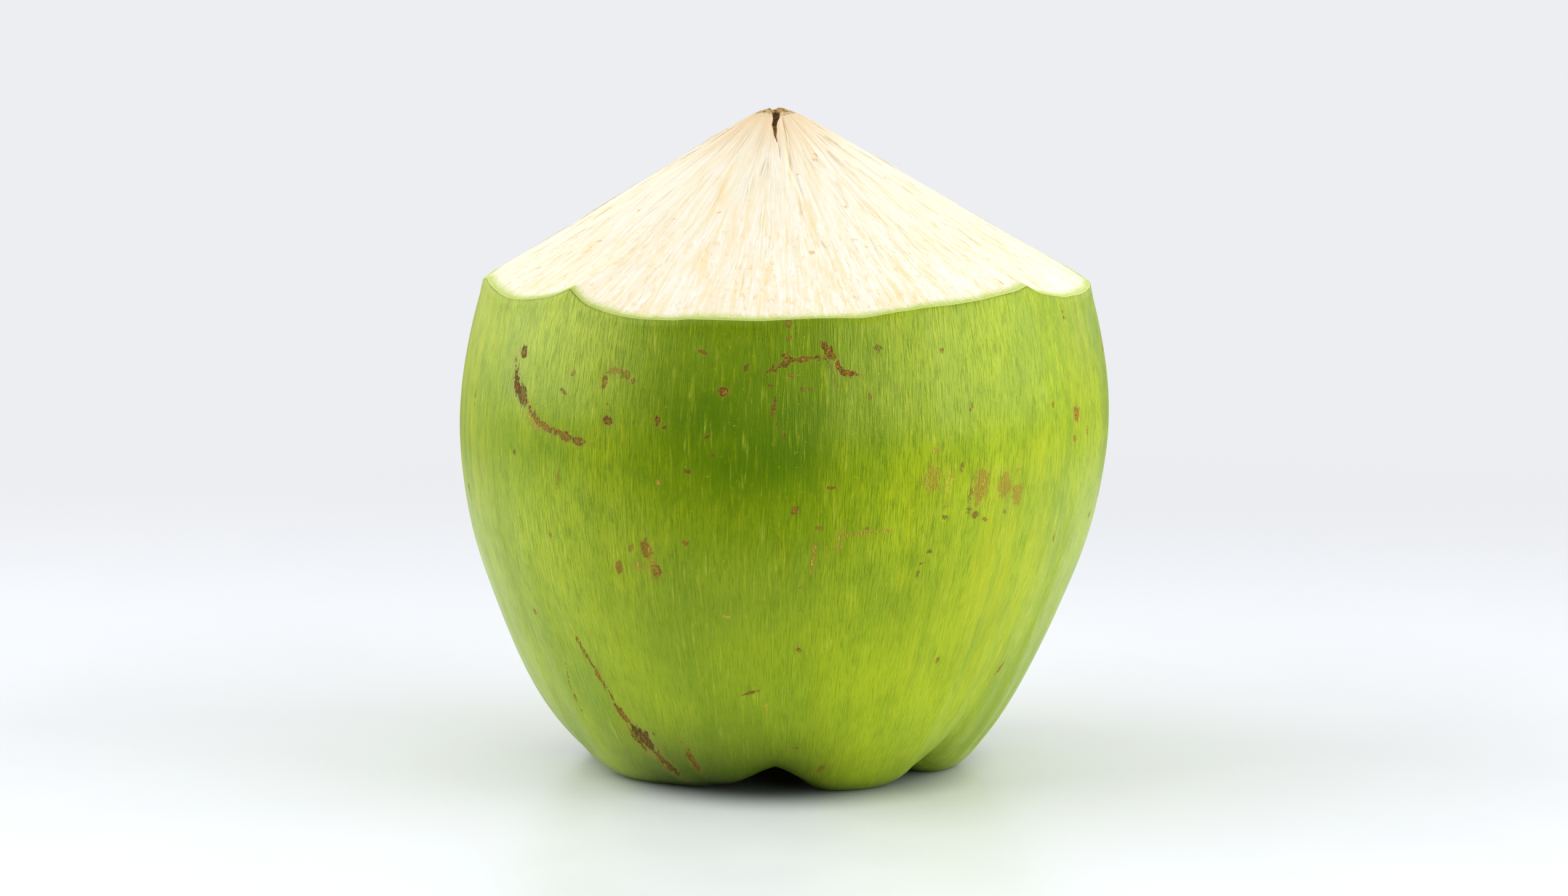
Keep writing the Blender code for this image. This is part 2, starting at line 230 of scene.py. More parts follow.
# Single spots, dashes and stains: direction, height, half length up the
# fruit, half width, tilt in degrees, tone, strength.
SPOTS = (
    (-31.5, 95.3, 1.6, 0.9, 10, RUST, 0.75),
    (-29.6, 97.4, 0.9, 1.5, 0, BLUSH, 0.65),
    (-27.6, 96.6, 1.0, 1.2, 20, RUST, 0.60),
    (-26.0, 95.4, 0.5, 0.5, 0, RUST, 0.75),
    (-38.1, 96.3, 0.8, 0.8, 0, RUST, 0.55),
    (-39.8, 92.1, 0.35, 1.0, 30, DARK, 0.60),
    (-30.2, 86.5, 0.95, 0.95, 0, RUST, 1.0),
    (-21.2, 87.2, 0.90, 0.80, 0, RUST, 1.0),
    (-20.0, 85.8, 0.30, 0.70, -30, DARK, 0.75),
    (-9.9, 93.7, 0.75, 1.15, 15, RUST, 1.0),
    (-13.9, 102.0, 0.35, 1.0, 20, RUST, 0.90),
    (-6.3, 98.9, 0.90, 0.35, 25, DARK, 0.75),
    (-1.4, 90.6, 1.5, 0.40, 5, RUST, 0.85),
    (-12.6, 84.0, 0.40, 1.0, -25, DARK, 0.70),
    (-11.5, 79.9, 0.60, 0.40, 40, DARK, 0.65),
    (-15.6, 76.2, 0.45, 0.85, 5, DARK, 0.80),
    (-20.8, 73.8, 0.55, 0.60, 0, TAN, 0.90),
    (-51.5, 77.4, 0.60, 0.40, 20, DARK, 0.75),
    (-40.4, 73.2, 1.6, 0.28, 12, RUST, 0.55),
    (0.3, 84.0, 0.65, 0.30, 0, DARK, 0.60),
    (0.7, 108.1, 0.60, 0.70, 0, RUST, 0.60),
    (1.0, 105.3, 0.50, 0.60, 0, RUST, 0.55),
    (1.3, 97.2, 0.40, 0.60, 0, RUST, 0.60),
    (3.3, 94.4, 0.45, 0.70, 10, RUST, 0.70),
    (4.7, 94.3, 0.35, 0.60, -10, RUST, 0.65),
    (14.9, 92.4, 0.55, 0.35, 0, RUST, 0.60),
    (16.6, 102.5, 0.75, 0.75, 0, DARK, 0.60),
    (28.6, 101.7, 0.50, 0.55, 0, RUST, 0.60),
    (33.8, 89.2, 0.60, 0.40, 0, RUST, 0.55),
    (26.9, 80.5, 0.70, 0.80, 0, TAN, 0.60),
    (32.0, 76.1, 0.70, 0.45, 10, DARK, 0.60),
    (60.7, 106.6, 1.0, 0.45, 8, DARK, 0.85),
    (60.9, 85.0, 1.7, 1.1, 0, RUSSET, 0.95),
    (60.5, 79.2, 0.85, 0.65, 0, RUST, 0.80),
    (65.5, 80.7, 0.75, 0.50, 0, RUST, 0.60),
    (53.2, 87.8, 0.70, 0.40, 0, DARK, 0.55),
    (44.8, 77.2, 0.50, 0.60, 0, TAN, 0.50),
    (8.6, 72.9, 0.35, 1.0, -5, RUST, 0.85),
    (2.4, 67.8, 0.85, 0.35, 35, RUST, 0.85),
    (6.6, 64.0, 0.45, 0.90, 0, RUST, 0.60),
    (15.2, 63.7, 0.40, 0.80, 0, RUST, 0.60),
    (26.4, 74.1, 3.2, 2.0, 5, BLUSH, 0.45),
    (29.6, 73.0, 2.6, 0.9, 8, YELLOW, 0.45),
    (36.2, 71.8, 3.6, 2.1, 6, BLUSH, 0.65),
    (41.4, 71.4, 2.8, 2.0, 0, BLUSH, 0.60),
    (44.6, 68.8, 2.4, 1.5, -10, BLUSH, 0.60),
    (29.2, 65.2, 0.50, 0.90, 20, DARK, 0.65),
    (34.1, 66.5, 0.90, 0.55, 0, DARK, 0.65),
    (35.5, 65.1, 0.75, 0.90, 20, DARK, 0.70),
    (37.8, 64.1, 0.45, 0.90, 15, RUST, 0.65),
    (42.2, 65.1, 0.80, 0.60, 0, RUST, 0.70),
    (-29.0, 54.1, 1.5, 1.0, -12, RUSSET, 0.80),
    (-26.4, 58.9, 1.0, 0.55, 10, RUSSET, 0.65),
    (-25.4, 55.0, 1.1, 0.70, 0, TAN, 0.70),
    (-23.3, 58.4, 2.3, 1.0, -14, RUSSET, 0.85),
    (-21.8, 53.7, 1.5, 1.2, -8, RUSSET, 0.90),
    (-22.6, 56.0, 2.6, 0.45, -10, TAN, 0.60),
    (-16.1, 60.3, 0.70, 0.70, 0, RUSSET, 0.95),
    (6.1, 58.4, 2.9, 0.45, 4, TAN, 0.90),
    (10.4, 61.0, 2.6, 0.55, 12, TAN, 0.55),
    (-43.5, 59.7, 0.90, 0.60, 0, RUST, 0.50),
    (-53.9, 40.7, 0.60, 0.50, 0, RUST, 0.65),
    (-9.5, 44.0, 0.40, 0.75, 0, YELLOW, 0.85),
    (27.1, 57.8, 0.45, 0.50, 30, DARK, 0.60),
    (25.4, 52.3, 0.80, 0.40, 10, DARK, 0.65),
    (58.1, 57.1, 1.0, 0.40, 0, DARK, 0.60),
    (3.9, 50.5, 0.35, 0.60, 0, RUST, 0.60),
    (4.1, 36.1, 0.55, 0.60, 0, RUST, 0.85),
    (34.6, 31.3, 0.60, 0.65, 0, RUST, 0.65),
    (55.7, 26.5, 1.4, 0.50, 24, RUST, 0.80),
    (-5.4, 25.9, 0.35, 1.7, -18, RUST, 0.95),
    (-2.0, 22.9, 0.90, 0.40, 0, YELLOW, 0.70),
    (4.4, 11.9, 0.30, 0.90, -10, RUST, 0.70),
    (11.7, 6.5, 1.5, 0.80, 20, RUST, 0.65),
    (-68.0, 88.0, 2.0, 0.5, 4, DARK, 0.55),
    (-74.0, 66.0, 0.8, 0.7, 0, RUST, 0.70),
    (-83.0, 96.0, 0.8, 0.9, 0, RUST, 0.85),
    (-95.0, 54.0, 1.4, 0.6, 14, RUST, 0.75),
    (74.0, 60.0, 0.7, 0.6, 0, RUST, 0.75),
    (82.0, 97.0, 0.9, 1.0, 0, RUST, 0.90),
    (90.0, 73.0, 0.5, 0.9, 15, DARK, 0.75),
    (88.0, 44.0, 1.6, 0.5, -8, TAN, 0.75),
    (101.0, 62.0, 2.8, 1.8, 5, BLUSH, 0.55),
    (105.0, 60.0, 2.0, 1.4, 0, BLUSH, 0.50),
    (112.0, 101.0, 0.8, 0.8, 0, DARK, 0.75),
    (119.0, 80.0, 0.9, 0.9, 0, RUST, 0.95),
    (122.0, 34.0, 1.3, 0.5, 12, RUST, 0.75),
    (131.0, 92.0, 1.4, 0.4, -20, RUST, 0.70),
    (149.0, 86.0, 0.5, 1.1, 10, DARK, 0.75),
    (152.0, 74.0, 0.9, 0.8, 0, RUST, 0.90),
    (158.0, 57.0, 2.2, 1.0, -8, RUSSET, 0.80),
    (161.0, 54.0, 1.6, 1.1, 0, TAN, 0.70),
    (166.0, 30.0, 0.6, 0.6, 0, RUST, 0.80),
    (176.0, 68.0, 0.8, 0.5, 0, DARK, 0.65),
    (186.0, 47.0, 1.8, 0.4, 6, TAN, 0.70),
    (192.0, 90.0, 0.9, 0.9, 0, RUST, 0.95),
    (199.0, 63.0, 3.0, 1.9, 6, BLUSH, 0.50),
    (204.0, 61.0, 1.2, 0.8, 0, RUST, 0.65),
    (222.0, 96.0, 0.7, 0.9, 0, RUST, 0.80),
    (228.0, 52.0, 1.4, 0.8, -10, RUST, 0.75),
    (247.0, 88.0, 0.6, 1.2, 20, DARK, 0.70),
    (254.0, 43.0, 0.8, 0.7, 0, RUST, 0.75),
    (259.0, 96.0, 1.0, 0.5, 0, RUST, 0.70),
    (270.0, 81.0, 2.4, 1.6, 0, BLUSH, 0.45),
)
# The dark green patches, partly the skin's own deep green and partly painted
# shade for the dark room that the waxy skin mirrors in front: how dark the skin
# is at each height in millimetres, and for each patch its direction, its reach
# to the left and right in degrees and its strength.
SHADE_HEIGHTS = (25.0, 38.0, 48.0, 58.0, 68.0, 78.0, 90.0, 110.0)
SHADE_LEVELS = (0.0, 0.18, 0.33, 0.38, 0.43, 0.80, 1.0, 0.74)
SHADE_PATCHES = (
    (-4.0, 24.0, 17.0, 1.0),
    (112.0, 16.0, 24.0, 0.7),
    (-118.0, 24.0, 15.0, 0.8),
)
# Painted shade at the foot, where the lobes face the floor: direction and reach to both sides.
FOOT_SHADE_PATCHES = ((-14.0, 30.0), (146.0, 34.0), (-112.0, 24.0))
MARK_LAYERS = 6
MARK_MARGIN = 1.6 * MM  # clear skin that a mark keeps round it in its layer


# ------------------------------------------------------------------- settings
def a_count(name, description, default, least=24):
    return bpy.props.IntProperty(name=name, description=description, default=default, min=least)


def a_length(name, description, default):
    return bpy.props.FloatProperty(
        name=name, description=description, default=default, unit="LENGTH"
    )


def a_power(name, description, default):
    return bpy.props.FloatProperty(
        name=name, description=description, default=default, unit="POWER"
    )


def a_colour(name, description, default):
    return bpy.props.FloatVectorProperty(
        name=name, description=description, default=default, subtype="COLOR"
    )


class RindSettings(bpy.types.PropertyGroup):
    """Sizes and colours of the green rind."""

    columns: a_count("Columns", "Grid columns round the girth", 640, least=64)
    rows: a_count("Rows", "Grid rows from the stem pit to the rim", 138)
    relief: a_length("Relief", "Depth of the broad unevenness of the skin", 0.30 * MM)
    strands: a_count("Strands", "Raised strands round the girth", 236)
    strand_height: a_length("Strand Height", "Height of the raised strands", 0.035 * MM)
    deep: a_colour("Deep Green", "Colour of the greenest skin", (0.235, 0.360, 0.001))
    light: a_colour("Light Green", "Colour of most of the skin", (0.385, 0.505, 0.002))
    yellow: a_colour("Ripe Yellow", "Colour of the ripest streaks", (0.485, 0.530, 0.004))
    # Shaded Green colours the dark green patches, which are partly painted shade, and the dark lines
    # and mottling.
    shaded: a_colour("Shaded Green", "Colour of the dark green patches", (0.104, 0.216, 0.0005))
    stem: a_colour("Stem Scar", "Colour of the corky scar in the pit", (0.300, 0.190, 0.090))


class HuskSettings(bpy.types.PropertyGroup):
    """Sizes and colours of the bare husk."""

    columns: a_count("Columns", "Grid columns round the cone", 640, least=64)
    rows: a_count("Rows", "Grid rows from the rim to the tip", 140)
    strands: a_count("Strands", "Strands round the cone", 190)
    strand_depth: a_length("Strand Depth", "Depth between the strands of the cone", 0.16 * MM)
    band: a_length("Rind Band", "Width of the green band along the rim", 2.2 * MM)
    loose: a_count("Loose Strands", "Fine strands that lie on the cone", 260, least=1)
    pale: a_colour("Pale Husk", "Colour of the freshly cut husk", (0.910, 0.840, 0.690))
    tan: a_colour("Tan Husk", "Colour of the husk that has browned", (0.855, 0.620, 0.220))
    green: a_colour("Band Green", "Colour of the cut rind along the rim", (0.500, 0.610, 0.130))
    brown: a_colour("Tip Brown", "Colour inside the split of the tip", (0.100, 0.045, 0.008))


class StageSettings(bpy.types.PropertyGroup):
    """Sizes and strengths of the floor and the lights."""

    floor: a_colour("Floor", "Colour of the floor", (0.80, 0.83, 0.875))
    left_power: a_power("Left Light", "Power of the left softbox", 11.6)
    right_power: a_power("Right Light", "Power of the right softbox", 9.4)
    fill_power: a_power("Fill Light", "Power of the fill in front", 3.3)
    top_power: a_power("Top Light", "Power of the light overhead", 1.3)
    lens: bpy.props.FloatProperty(
        name="Lens", description="Focal length in millimetres", default=100.0, unit="CAMERA"
    )
    distance: a_length("Distance", "Camera to the middle of the fruit", 1.0075)
    elevation: bpy.props.FloatProperty(
        name="Elevation",
        description="Camera angle over the horizon",
        default=math.radians(7.0),
        subtype="ANGLE",
    )


# -------------------------------------------------------------- small helpers
def smooth_step(value, start, end):
    """0 before start, 1 after end, and an S-shaped rise between them."""
    share = np.clip((value - start) / (end - start), 0.0, 1.0)
    return share * share * (3.0 - 2.0 * share)


def turn_apart(direction, degrees):
    """The angle in radians from a fixed direction, between -pi and pi."""
    away = direction - math.radians(degrees)
    return (away + math.pi) % TURN - math.pi


def hill(direction, degrees, before, after=None, power=2.0):
    """1 at a direction and exp(-(angle / reach)^power) to both sides of it.

    The reach is in degrees, and it may be another one after the direction.
    """
    away = np.degrees(turn_apart(direction, degrees))
    reach = np.where(away < 0.0, before, before if after is None else after)
    return np.exp(-((np.abs(away) / reach) ** power))


def grain_place(direction, along):
    """Where a pattern along the strands is read: round the girth, and along them."""
    x, y = WIDEST_RADIUS * np.sin(direction), -WIDEST_RADIUS * np.cos(direction)
    return np.stack([x, y, along], axis=-1)


def carried(values, before=0, after=0):
    """Ring values with the first ring's carried back and the last ring's carried on."""
    return np.pad(values, ((before, after), (0, 0), (0, 0)), mode="edge")


def strand_noise(direction, along, cells, step, seed):
    """Soft noise from -1 to 1 that closes on itself round the fruit.

    A net has `cells` columns round the girth and a row for every `step` along
    the strands, with a random height at each corner. A point takes the heights
    of the four corners round it, blended by an S-curve both ways.
    """
    net = np.random.default_rng(seed).uniform(-1.0, 1.0, (cells, NOISE_ROWS))
    across = direction / TURN * cells
    down = along / step
    column, row = np.floor(across).astype(int), np.floor(down).astype(int)
    u, v = across - column, down - row
    u, v = u * u * (3.0 - 2.0 * u), v * v * (3.0 - 2.0 * v)
    first, after = column % cells, (column + 1) % cells
    near, far = row % NOISE_ROWS, (row + 1) % NOISE_ROWS
    start = net[first, near] * (1.0 - u) + net[after, near] * u
    end = net[first, far] * (1.0 - u) + net[after, far] * u
    return start * (1.0 - v) + end * v


def waves(direction, along, kinds):
    """Soft noises added up, each with its height, count, length and seed."""
    return sum(size * strand_noise(direction, along, *kind) for size, *kind in kinds)


# -------------------------------------------------------- shape of the fruit
def outline_at(share):
    """Radius, height and both slopes of the outline at a share of its points.

    Between two given points runs a cubic whose slope at each of them is half
    the step from the point before to the point after (Catmull-Rom).
    """
    given = np.array(OUTLINE) * (WIDEST_RADIUS, WIDEST_HEIGHT)
    padded = np.vstack([2 * given[0] - given[1], given, 2 * given[-1] - given[-2]])
    piece = np.minimum(share.astype(int), len(given) - 2)
    t = (share - piece)[..., None]
    before, start = padded[piece], padded[piece + 1]
    end, after = padded[piece + 2], padded[piece + 3]
    slope_in, slope_out = 0.5 * (end - before), 0.5 * (after - start)
    place = (
        (2 * t**3 - 3 * t**2 + 1) * start
        + (t**3 - 2 * t**2 + t) * slope_in
        + (3 * t**2 - 2 * t**3) * end
        + (t**3 - t**2) * slope_out
    )
    slope = (
        6 * (t**2 - t) * (start - end)
        + (3 * t**2 - 4 * t + 1) * slope_in
        + (3 * t**2 - 2 * t) * slope_out
    )
    return place[..., 0], place[..., 1], slope[..., 0], slope[..., 1]


def husk_points(direction, share):
    """Points of the uncut husk at (direction, share of the outline).

    The outline is turned about +Z and pushed in along its own normal by the
    grooves, each a rounded V that fades with height. The girth then swells on
    three sides and leans to +X, and nothing goes under the ground.
    """
    radius, height, radius_slope, height_slope = outline_at(share)
    steepness = np.hypot(radius_slope, height_slope)
    over_ground = np.maximum(height, 0.0)
    depth = np.zeros_like(radius)
    for degrees, deepest, half_width, climb in GROOVES:
        aside = turn_apart(direction, degrees) * radius
        section = np.exp(-(np.abs(aside / half_width) ** CREASE_POWER))
        depth += deepest * section * np.exp(-over_ground / climb)
    depth *= smooth_step(radius, *PIT_EDGE)
    swell = 1.0 + THREE_SIDED * np.cos(
        3.0 * turn_apart(direction, THREE_SIDED_AT)
    ) * smooth_step(height, 0.0, WIDEST_HEIGHT)
    radius = (radius - depth * height_slope / steepness) * swell
    height = height + depth * radius_slope / steepness
    x = radius * np.sin(direction) + LEAN * smooth_step(height, 0.0, 1.5 * WIDEST_HEIGHT)
    y = -radius * np.cos(direction)
    return np.stack([x, y, np.maximum(height, 0.0)], axis=-1)


def pared_height(x, y):
    """Height of the knife's cut over a point of the ground.

    It is a tilted cone, blunt at its tip, with a crest near the rim where one
    stroke met the next. Each stroke also leaves the cut a little hollow, and
    the hand that held the knife left it slightly wavy.
    """
    direction, radius = np.arctan2(x, -y), np.hypot(x, y)
    fall = CONE_FALL + CONE_TILT * np.cos(turn_apart(direction, CONE_TILT_AT))
    height = TIP_HEIGHT - fall * (np.hypot(radius, TIP_ROUNDING) - TIP_ROUNDING)
    raised = np.zeros_like(radius)
    for degrees, crest, before, after in RIM_CRESTS:
        raised += crest * hill(direction, degrees, before, after, power=1.0)
    height = height + raised * smooth_step(radius, SCALLOP_START, SCALLOP_FULL)
    wavy = waves(direction, radius, KNIFE_WAVES)
    for degrees, half_width, nick in RIM_NICKS:
        wavy -= nick * hill(direction, degrees, half_width) * smooth_step(radius, *NICK_START)
    return height + (wavy - KNIFE_DEPTH) * smooth_step(radius, 8.0 * MM, 40.0 * MM)


def rim_share(direction):
    """The share of the outline at which the knife cut each direction, by halving."""
    low = np.full(direction.shape, WIDEST_SHARE)
    high = np.full(direction.shape, TOP_SHARE)
    for _ in range(40):
        middle = 0.5 * (low + high)
        points = husk_points(direction, middle)
        under = points[..., 2] < pared_height(points[..., 0], points[..., 1])
        low, high = np.where(under, middle, low), np.where(under, high, middle)
    return 0.5 * (low + high)


def place_shift():
    """Moves the fruit's own axis to where the solid has it, box middle on box middle."""
    direction, share = np.meshgrid(
        np.linspace(0.0, TURN, 721), np.linspace(FOOT_SHARE, WIDEST_SHARE + 2.0, 200)
    )
    points = husk_points(direction, share).reshape(-1, 3)
    own_middle = 0.5 * (points.min(axis=0) + points.max(axis=0))
    low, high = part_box(NODE)
    middle = 0.5 * (np.array(low) + np.array(high))
    return np.array([middle[0] - own_middle[0], middle[1] - own_middle[1], 0.0])


def grid_normals(rings):
    """Unit normals of a closed grid: the cross product of its two directions."""
    round_step = np.roll(rings, -1, axis=1) - np.roll(rings, 1, axis=1)
    normals = np.cross(round_step, np.gradient(rings, axis=0))
    length = np.linalg.norm(normals, axis=-1, keepdims=True)
    return normals / np.maximum(length, 1e-12)


def ring_inside(ring, inset, drop, under_cut=True):
    """A ring drawn in by an inset, and dropped from the knife's cut or from itself."""
    out = ring[:, :2] / np.linalg.norm(ring[:, :2], axis=-1, keepdims=True)
    xy = ring[:, :2] - out * inset * MM
    level = pared_height(xy[:, 0], xy[:, 1]) if under_cut else ring[:, 2]
    return np.column_stack([xy, level - drop * MM])


def closed_mesh(name, start, rings, end, attributes):
    """A closed mesh of rings of points, with a pole before and after them.

    Each quad joins two neighbours of one ring to the same two of the next, and
    a fan of triangles joins each pole to the ring beside it. Attributes hold a
    vector for each ring point, and a pole takes the mean of the ring beside it.
    """
    rows, columns = rings.shape[:2]
    points = np.vstack([start, rings.reshape(-1, 3), end])
    here = np.arange(columns)
    after = (here + 1) % columns
    first = 1 + np.arange(rows - 1)[:, None] * columns
    quads = np.stack(
        [first + here, first + after, first + columns + after, first + columns + here],
        axis=-1,
    ).reshape(-1, 4)
    last = 1 + (rows - 1) * columns
    start_fan = np.stack([1 + after, 1 + here, np.zeros(columns, int)], axis=-1)
    end_fan = np.stack(
        [last + here, last + after, np.full(columns, last + columns)], axis=-1
    )
    corners = np.concatenate([quads.ravel(), start_fan.ravel(), end_fan.ravel()])
    sizes = np.concatenate([np.full(len(quads), 4), np.full(2 * columns, 3)])
    mesh = bpy.data.meshes.new(name)
    mesh.vertices.add(len(points))
    mesh.vertices.foreach_set("co", points.ravel())
    mesh.loops.add(len(corners))
    mesh.loops.foreach_set("vertex_index", corners)
    mesh.polygons.add(len(sizes))
    mesh.polygons.foreach_set("loop_start", np.concatenate([[0], np.cumsum(sizes)[:-1]]))
    for label, values in attributes.items():
        values = values.reshape(rows, columns, 3)
        whole = np.vstack(
            [values[0].mean(axis=0), values.reshape(-1, 3), values[-1].mean(axis=0)]
        )
        attribute = mesh.attributes.new(label, "FLOAT_VECTOR", "POINT")
        attribute.data.foreach_set("vector", whole.ravel())
    mesh.update(calc_edges=True)
    mesh.shade_smooth()
    return mesh


def add_piece(name, parts, material):
    """An object at the origin that rides on the fruit and stands for its solid.

    Its parts are the start pole, rings, end pole and attributes of closed_mesh,
    moved to where the solid has the fruit's axis.
    """
    start, rings, end, attributes = parts
    shift = place_shift()
    place_piece(closed_mesh(name, start + shift, rings + shift, end + shift, attributes), material)


def place_piece(mesh, material):
    mesh.materials.append(material)
    piece = bpy.data.objects.new(mesh.name, mesh)
    bpy.context.scene.collection.objects.link(piece)
    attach(piece, BODY)
    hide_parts(NODE)


# --------------------------------------------------------------- skin marks
def climb_table():
    """Shares, heights and lengths climbed along the outline, from the foot up."""
    share = np.linspace(4.2, TOP_SHARE, 2000)
    radius, height, _, _ = outline_at(share)
    steps = np.hypot(np.diff(radius), np.diff(height))
    return share, height, np.concatenate([[0.0], np.cumsum(steps)])


def climb_at(height):
    """The length climbed along the outline to a height."""
    _, heights, climbs = climb_table()
    return float(np.interp(height, heights, climbs))


def stroke_field(direction, climb, radius, places, half_width):
    """Along and across a path, each in its own half: -1 to 1 from end to end.

    Each point takes the nearest piece of the path. The first and last pieces
    carry on past their ends, so the field stays smooth round them.
    """
    knots = [(degrees, climb_at(height * MM)) for degrees, height in places]
    nearest = np.ones(climb.shape)
    along, across = np.zeros(climb.shape), np.zeros(climb.shape)
    run = 0.0
    for number, ((d0, c0), (d1, c1)) in enumerate(zip(knots, knots[1:])):
        start_aside = turn_apart(direction, d0) * radius
        aside_step = (turn_apart(direction, d0) - turn_apart(direction, d1)) * radius
        climb_step = c1 - c0
        length = np.hypot(aside_step, climb_step)
        way_aside, way_climb = aside_step / length, climb_step / length
        reach = start_aside * way_aside + (climb - c0) * way_climb
        side = start_aside * way_climb - (climb - c0) * way_aside
        low = -np.inf if number == 0 else 0.0
        high = np.where(number == len(knots) - 2, np.inf, length)
        clamped = np.clip(reach, low, high)
        away = np.hypot(reach - clamped, side)
        closer = away < nearest
        nearest = np.where(closer, away, nearest)
        along = np.where(closer, run + clamped, along)
        across = np.where(closer, np.where(reach == clamped, side, away), across)
        run = run + np.median(length)
    half_length = 0.5 * run
    return (along - half_length) / half_length, across / half_width, half_length


def spot_field(direction, climb, radius, degrees, height, tilt):
    """Lengths along and across a tilted spot from its middle."""
    aside = turn_apart(direction, degrees) * radius
    up = climb - climb_at(height)
    turned = math.radians(tilt)
    along = up * math.cos(turned) + aside * math.sin(turned)
    return along, aside * math.cos(turned) - up * math.sin(turned)


def mark_layers(direction, share, radius):
    """Places every mark in a layer in which it has clear skin round it.

    In a layer each point of the skin knows one mark: how far along it and
    across it the point lies, in half lengths and half widths, and whether it
    is inside the mark's clear skin. A second vector holds the mark's tone, its
    strength and its half width. Scars are also dented a little into the skin.
    """
    shares, _, climbs = climb_table()
    climb = np.interp(share, shares, climbs)
    marks = []
    for tone, strength, half_width, path in STROKES:
        along, across, half_length = stroke_field(direction, climb, radius, path, half_width)
        marks.append((along, across, half_length + half_width, half_width, tone, strength))
    for degrees, height, long, wide, tilt, tone, strength in SPOTS:
        along, across = spot_field(direction, climb, radius, degrees, height * MM, tilt)
        long, wide = long * MM, wide * MM
        marks.append((along / long, across / wide, long, wide, tone, strength))
    places = np.zeros((MARK_LAYERS, *share.shape, 3))
    kinds = np.zeros_like(places)
    dent = np.zeros(share.shape)
    for along, across, half_length, half_width, tone, strength in marks:
        near = np.abs(along) * half_length < 1.5 * half_length + MARK_MARGIN
        near &= np.abs(across) * half_width < 1.5 * half_width + MARK_MARGIN
        for layer in range(MARK_LAYERS):
            if not places[layer][near][:, 2].any():
                break
        else:
            raise RuntimeError("no layer has room for a mark")
        inside = np.ones(near.sum())
        places[layer][near] = np.stack([along[near], across[near], inside], axis=-1)
        kinds[layer][near] = (tone, strength, half_width / MM)
        sunk = SCAR_DENT * min(half_width, 1.0 * MM) * (1.0 if tone < BLUSH else 0.2)
        sunk = np.where(near, sunk, 0.0)
        rise = smooth_step(np.hypot(along, across), 0.35, 1.25)
        dent = np.maximum(dent, sunk * (1.0 - rise))
    return places, kinds, dent


# ---------------------------------------------------------------- node boards
class Board:
    """A node tree with short calls that add a node and join it up."""

    def __init__(self, tree):
        self.tree = tree

    def add(self, kind, inputs=(), **settings):
        """A new node. inputs are (name or number, value or socket) pairs."""
        node = self.tree.nodes.new(kind)
        for name, value in settings.items():
            setattr(node, name, value)
        for key, value in inputs:
            self.put(node.inputs[key], value)
        return node

    def put(self, socket, value):
        """Joins a socket to another one, or sets its value. A colour is made solid."""
        if isinstance(value, bpy.types.NodeSocket):
            self.tree.links.new(value, socket)
        elif socket.type == "RGBA":
            socket.default_value = (*value, 1.0)
        else:
            socket.default_value = value

    def maths(self, operation, first, second, clamp=False):
        inputs = [(0, first), (1, second)]
        return self.add("ShaderNodeMath", inputs, operation=operation, use_clamp=clamp).outputs[0]

    def times(self, first, second):
        return self.maths("MULTIPLY", first, second)

    def plus(self, first, second, clamp=False):
        return self.maths("ADD", first, second, clamp)

    def most(self, first, second):
        return self.maths("MAXIMUM", first, second)

    def swing(self, noise, size, middle=0.5):
        """Noise scaled after its middle is moved to 0."""
        return self.times(self.maths("SUBTRACT", noise, middle), size)

    def scaled(self, vector, factors):
        node = self.add("ShaderNodeVectorMath", [(0, vector), (1, factors)], operation="MULTIPLY")
        return node.outputs["Vector"]

    def length(self, vector):
        return self.add("ShaderNodeVectorMath", [(0, vector)], operation="LENGTH").outputs["Value"]

    def mix(self, share, first, second):
        """Two colours mixed by a share."""
        inputs = [(0, share), (6, first), (7, second)]
        return self.add("ShaderNodeMix", inputs, data_type="RGBA").outputs[2]

    def tint(self, base, colour, share, part):
        """The base with a part of a colour laid over it where the share says."""
        return self.mix(self.times(share, part), base, colour)

    def between(self, value, start, end, low=0.0, high=1.0):
        """low before start, high after end, and an S-shaped change between."""
        inputs = [("Value", value), (1, start), (2, end), (3, low), (4, high)]
        return self.add("ShaderNodeMapRange", inputs, interpolation_type="SMOOTHSTEP").outputs[0]

    def noise(self, place, scale, detail=2.0, roughness=0.5, warp=0.0):
        inputs = [("Vector", place), ("Scale", scale), ("Detail", detail)]
        inputs += [("Roughness", roughness), ("Distortion", warp)]
        return self.add("ShaderNodeTexNoise", inputs).outputs[0]

    def attribute(self, name):
        return self.add("ShaderNodeAttribute", attribute_name=name).outputs["Vector"]

    def place(self):
        return self.add("ShaderNodeTexCoord").outputs["Object"]

    def split(self, vector):
        return self.add("ShaderNodeSeparateXYZ", [(0, vector)]).outputs

    def ramp(self, value, stops):
        """Colours at given places of a ramp, blended between them."""
        node = self.add("ShaderNodeValToRGB", [(0, value)])
        elements = node.color_ramp.elements
        while len(elements) < len(stops):
            elements.new(0.5)
        for element, (place, colour) in zip(elements, stops):
            element.position = place
            element.color = (*colour, 1.0)
        return node.outputs[0]

    def bump(self, height, distance, strength, normal=None):
        inputs = [("Height", height), ("Distance", distance), ("Strength", strength)]
        if normal is not None:
            inputs.append(("Normal", normal))
        return self.add("ShaderNodeBump", inputs).outputs[0]

    def glow(self, colour):
        return self.add("ShaderNodeEmission", [("Color", colour)]).outputs[0]

    def either(self, share, first, second):
        """Two shaders mixed by a share."""
        inputs = [(0, share), (1, first), (2, second)]
        return self.add("ShaderNodeMixShader", inputs).outputs[0]


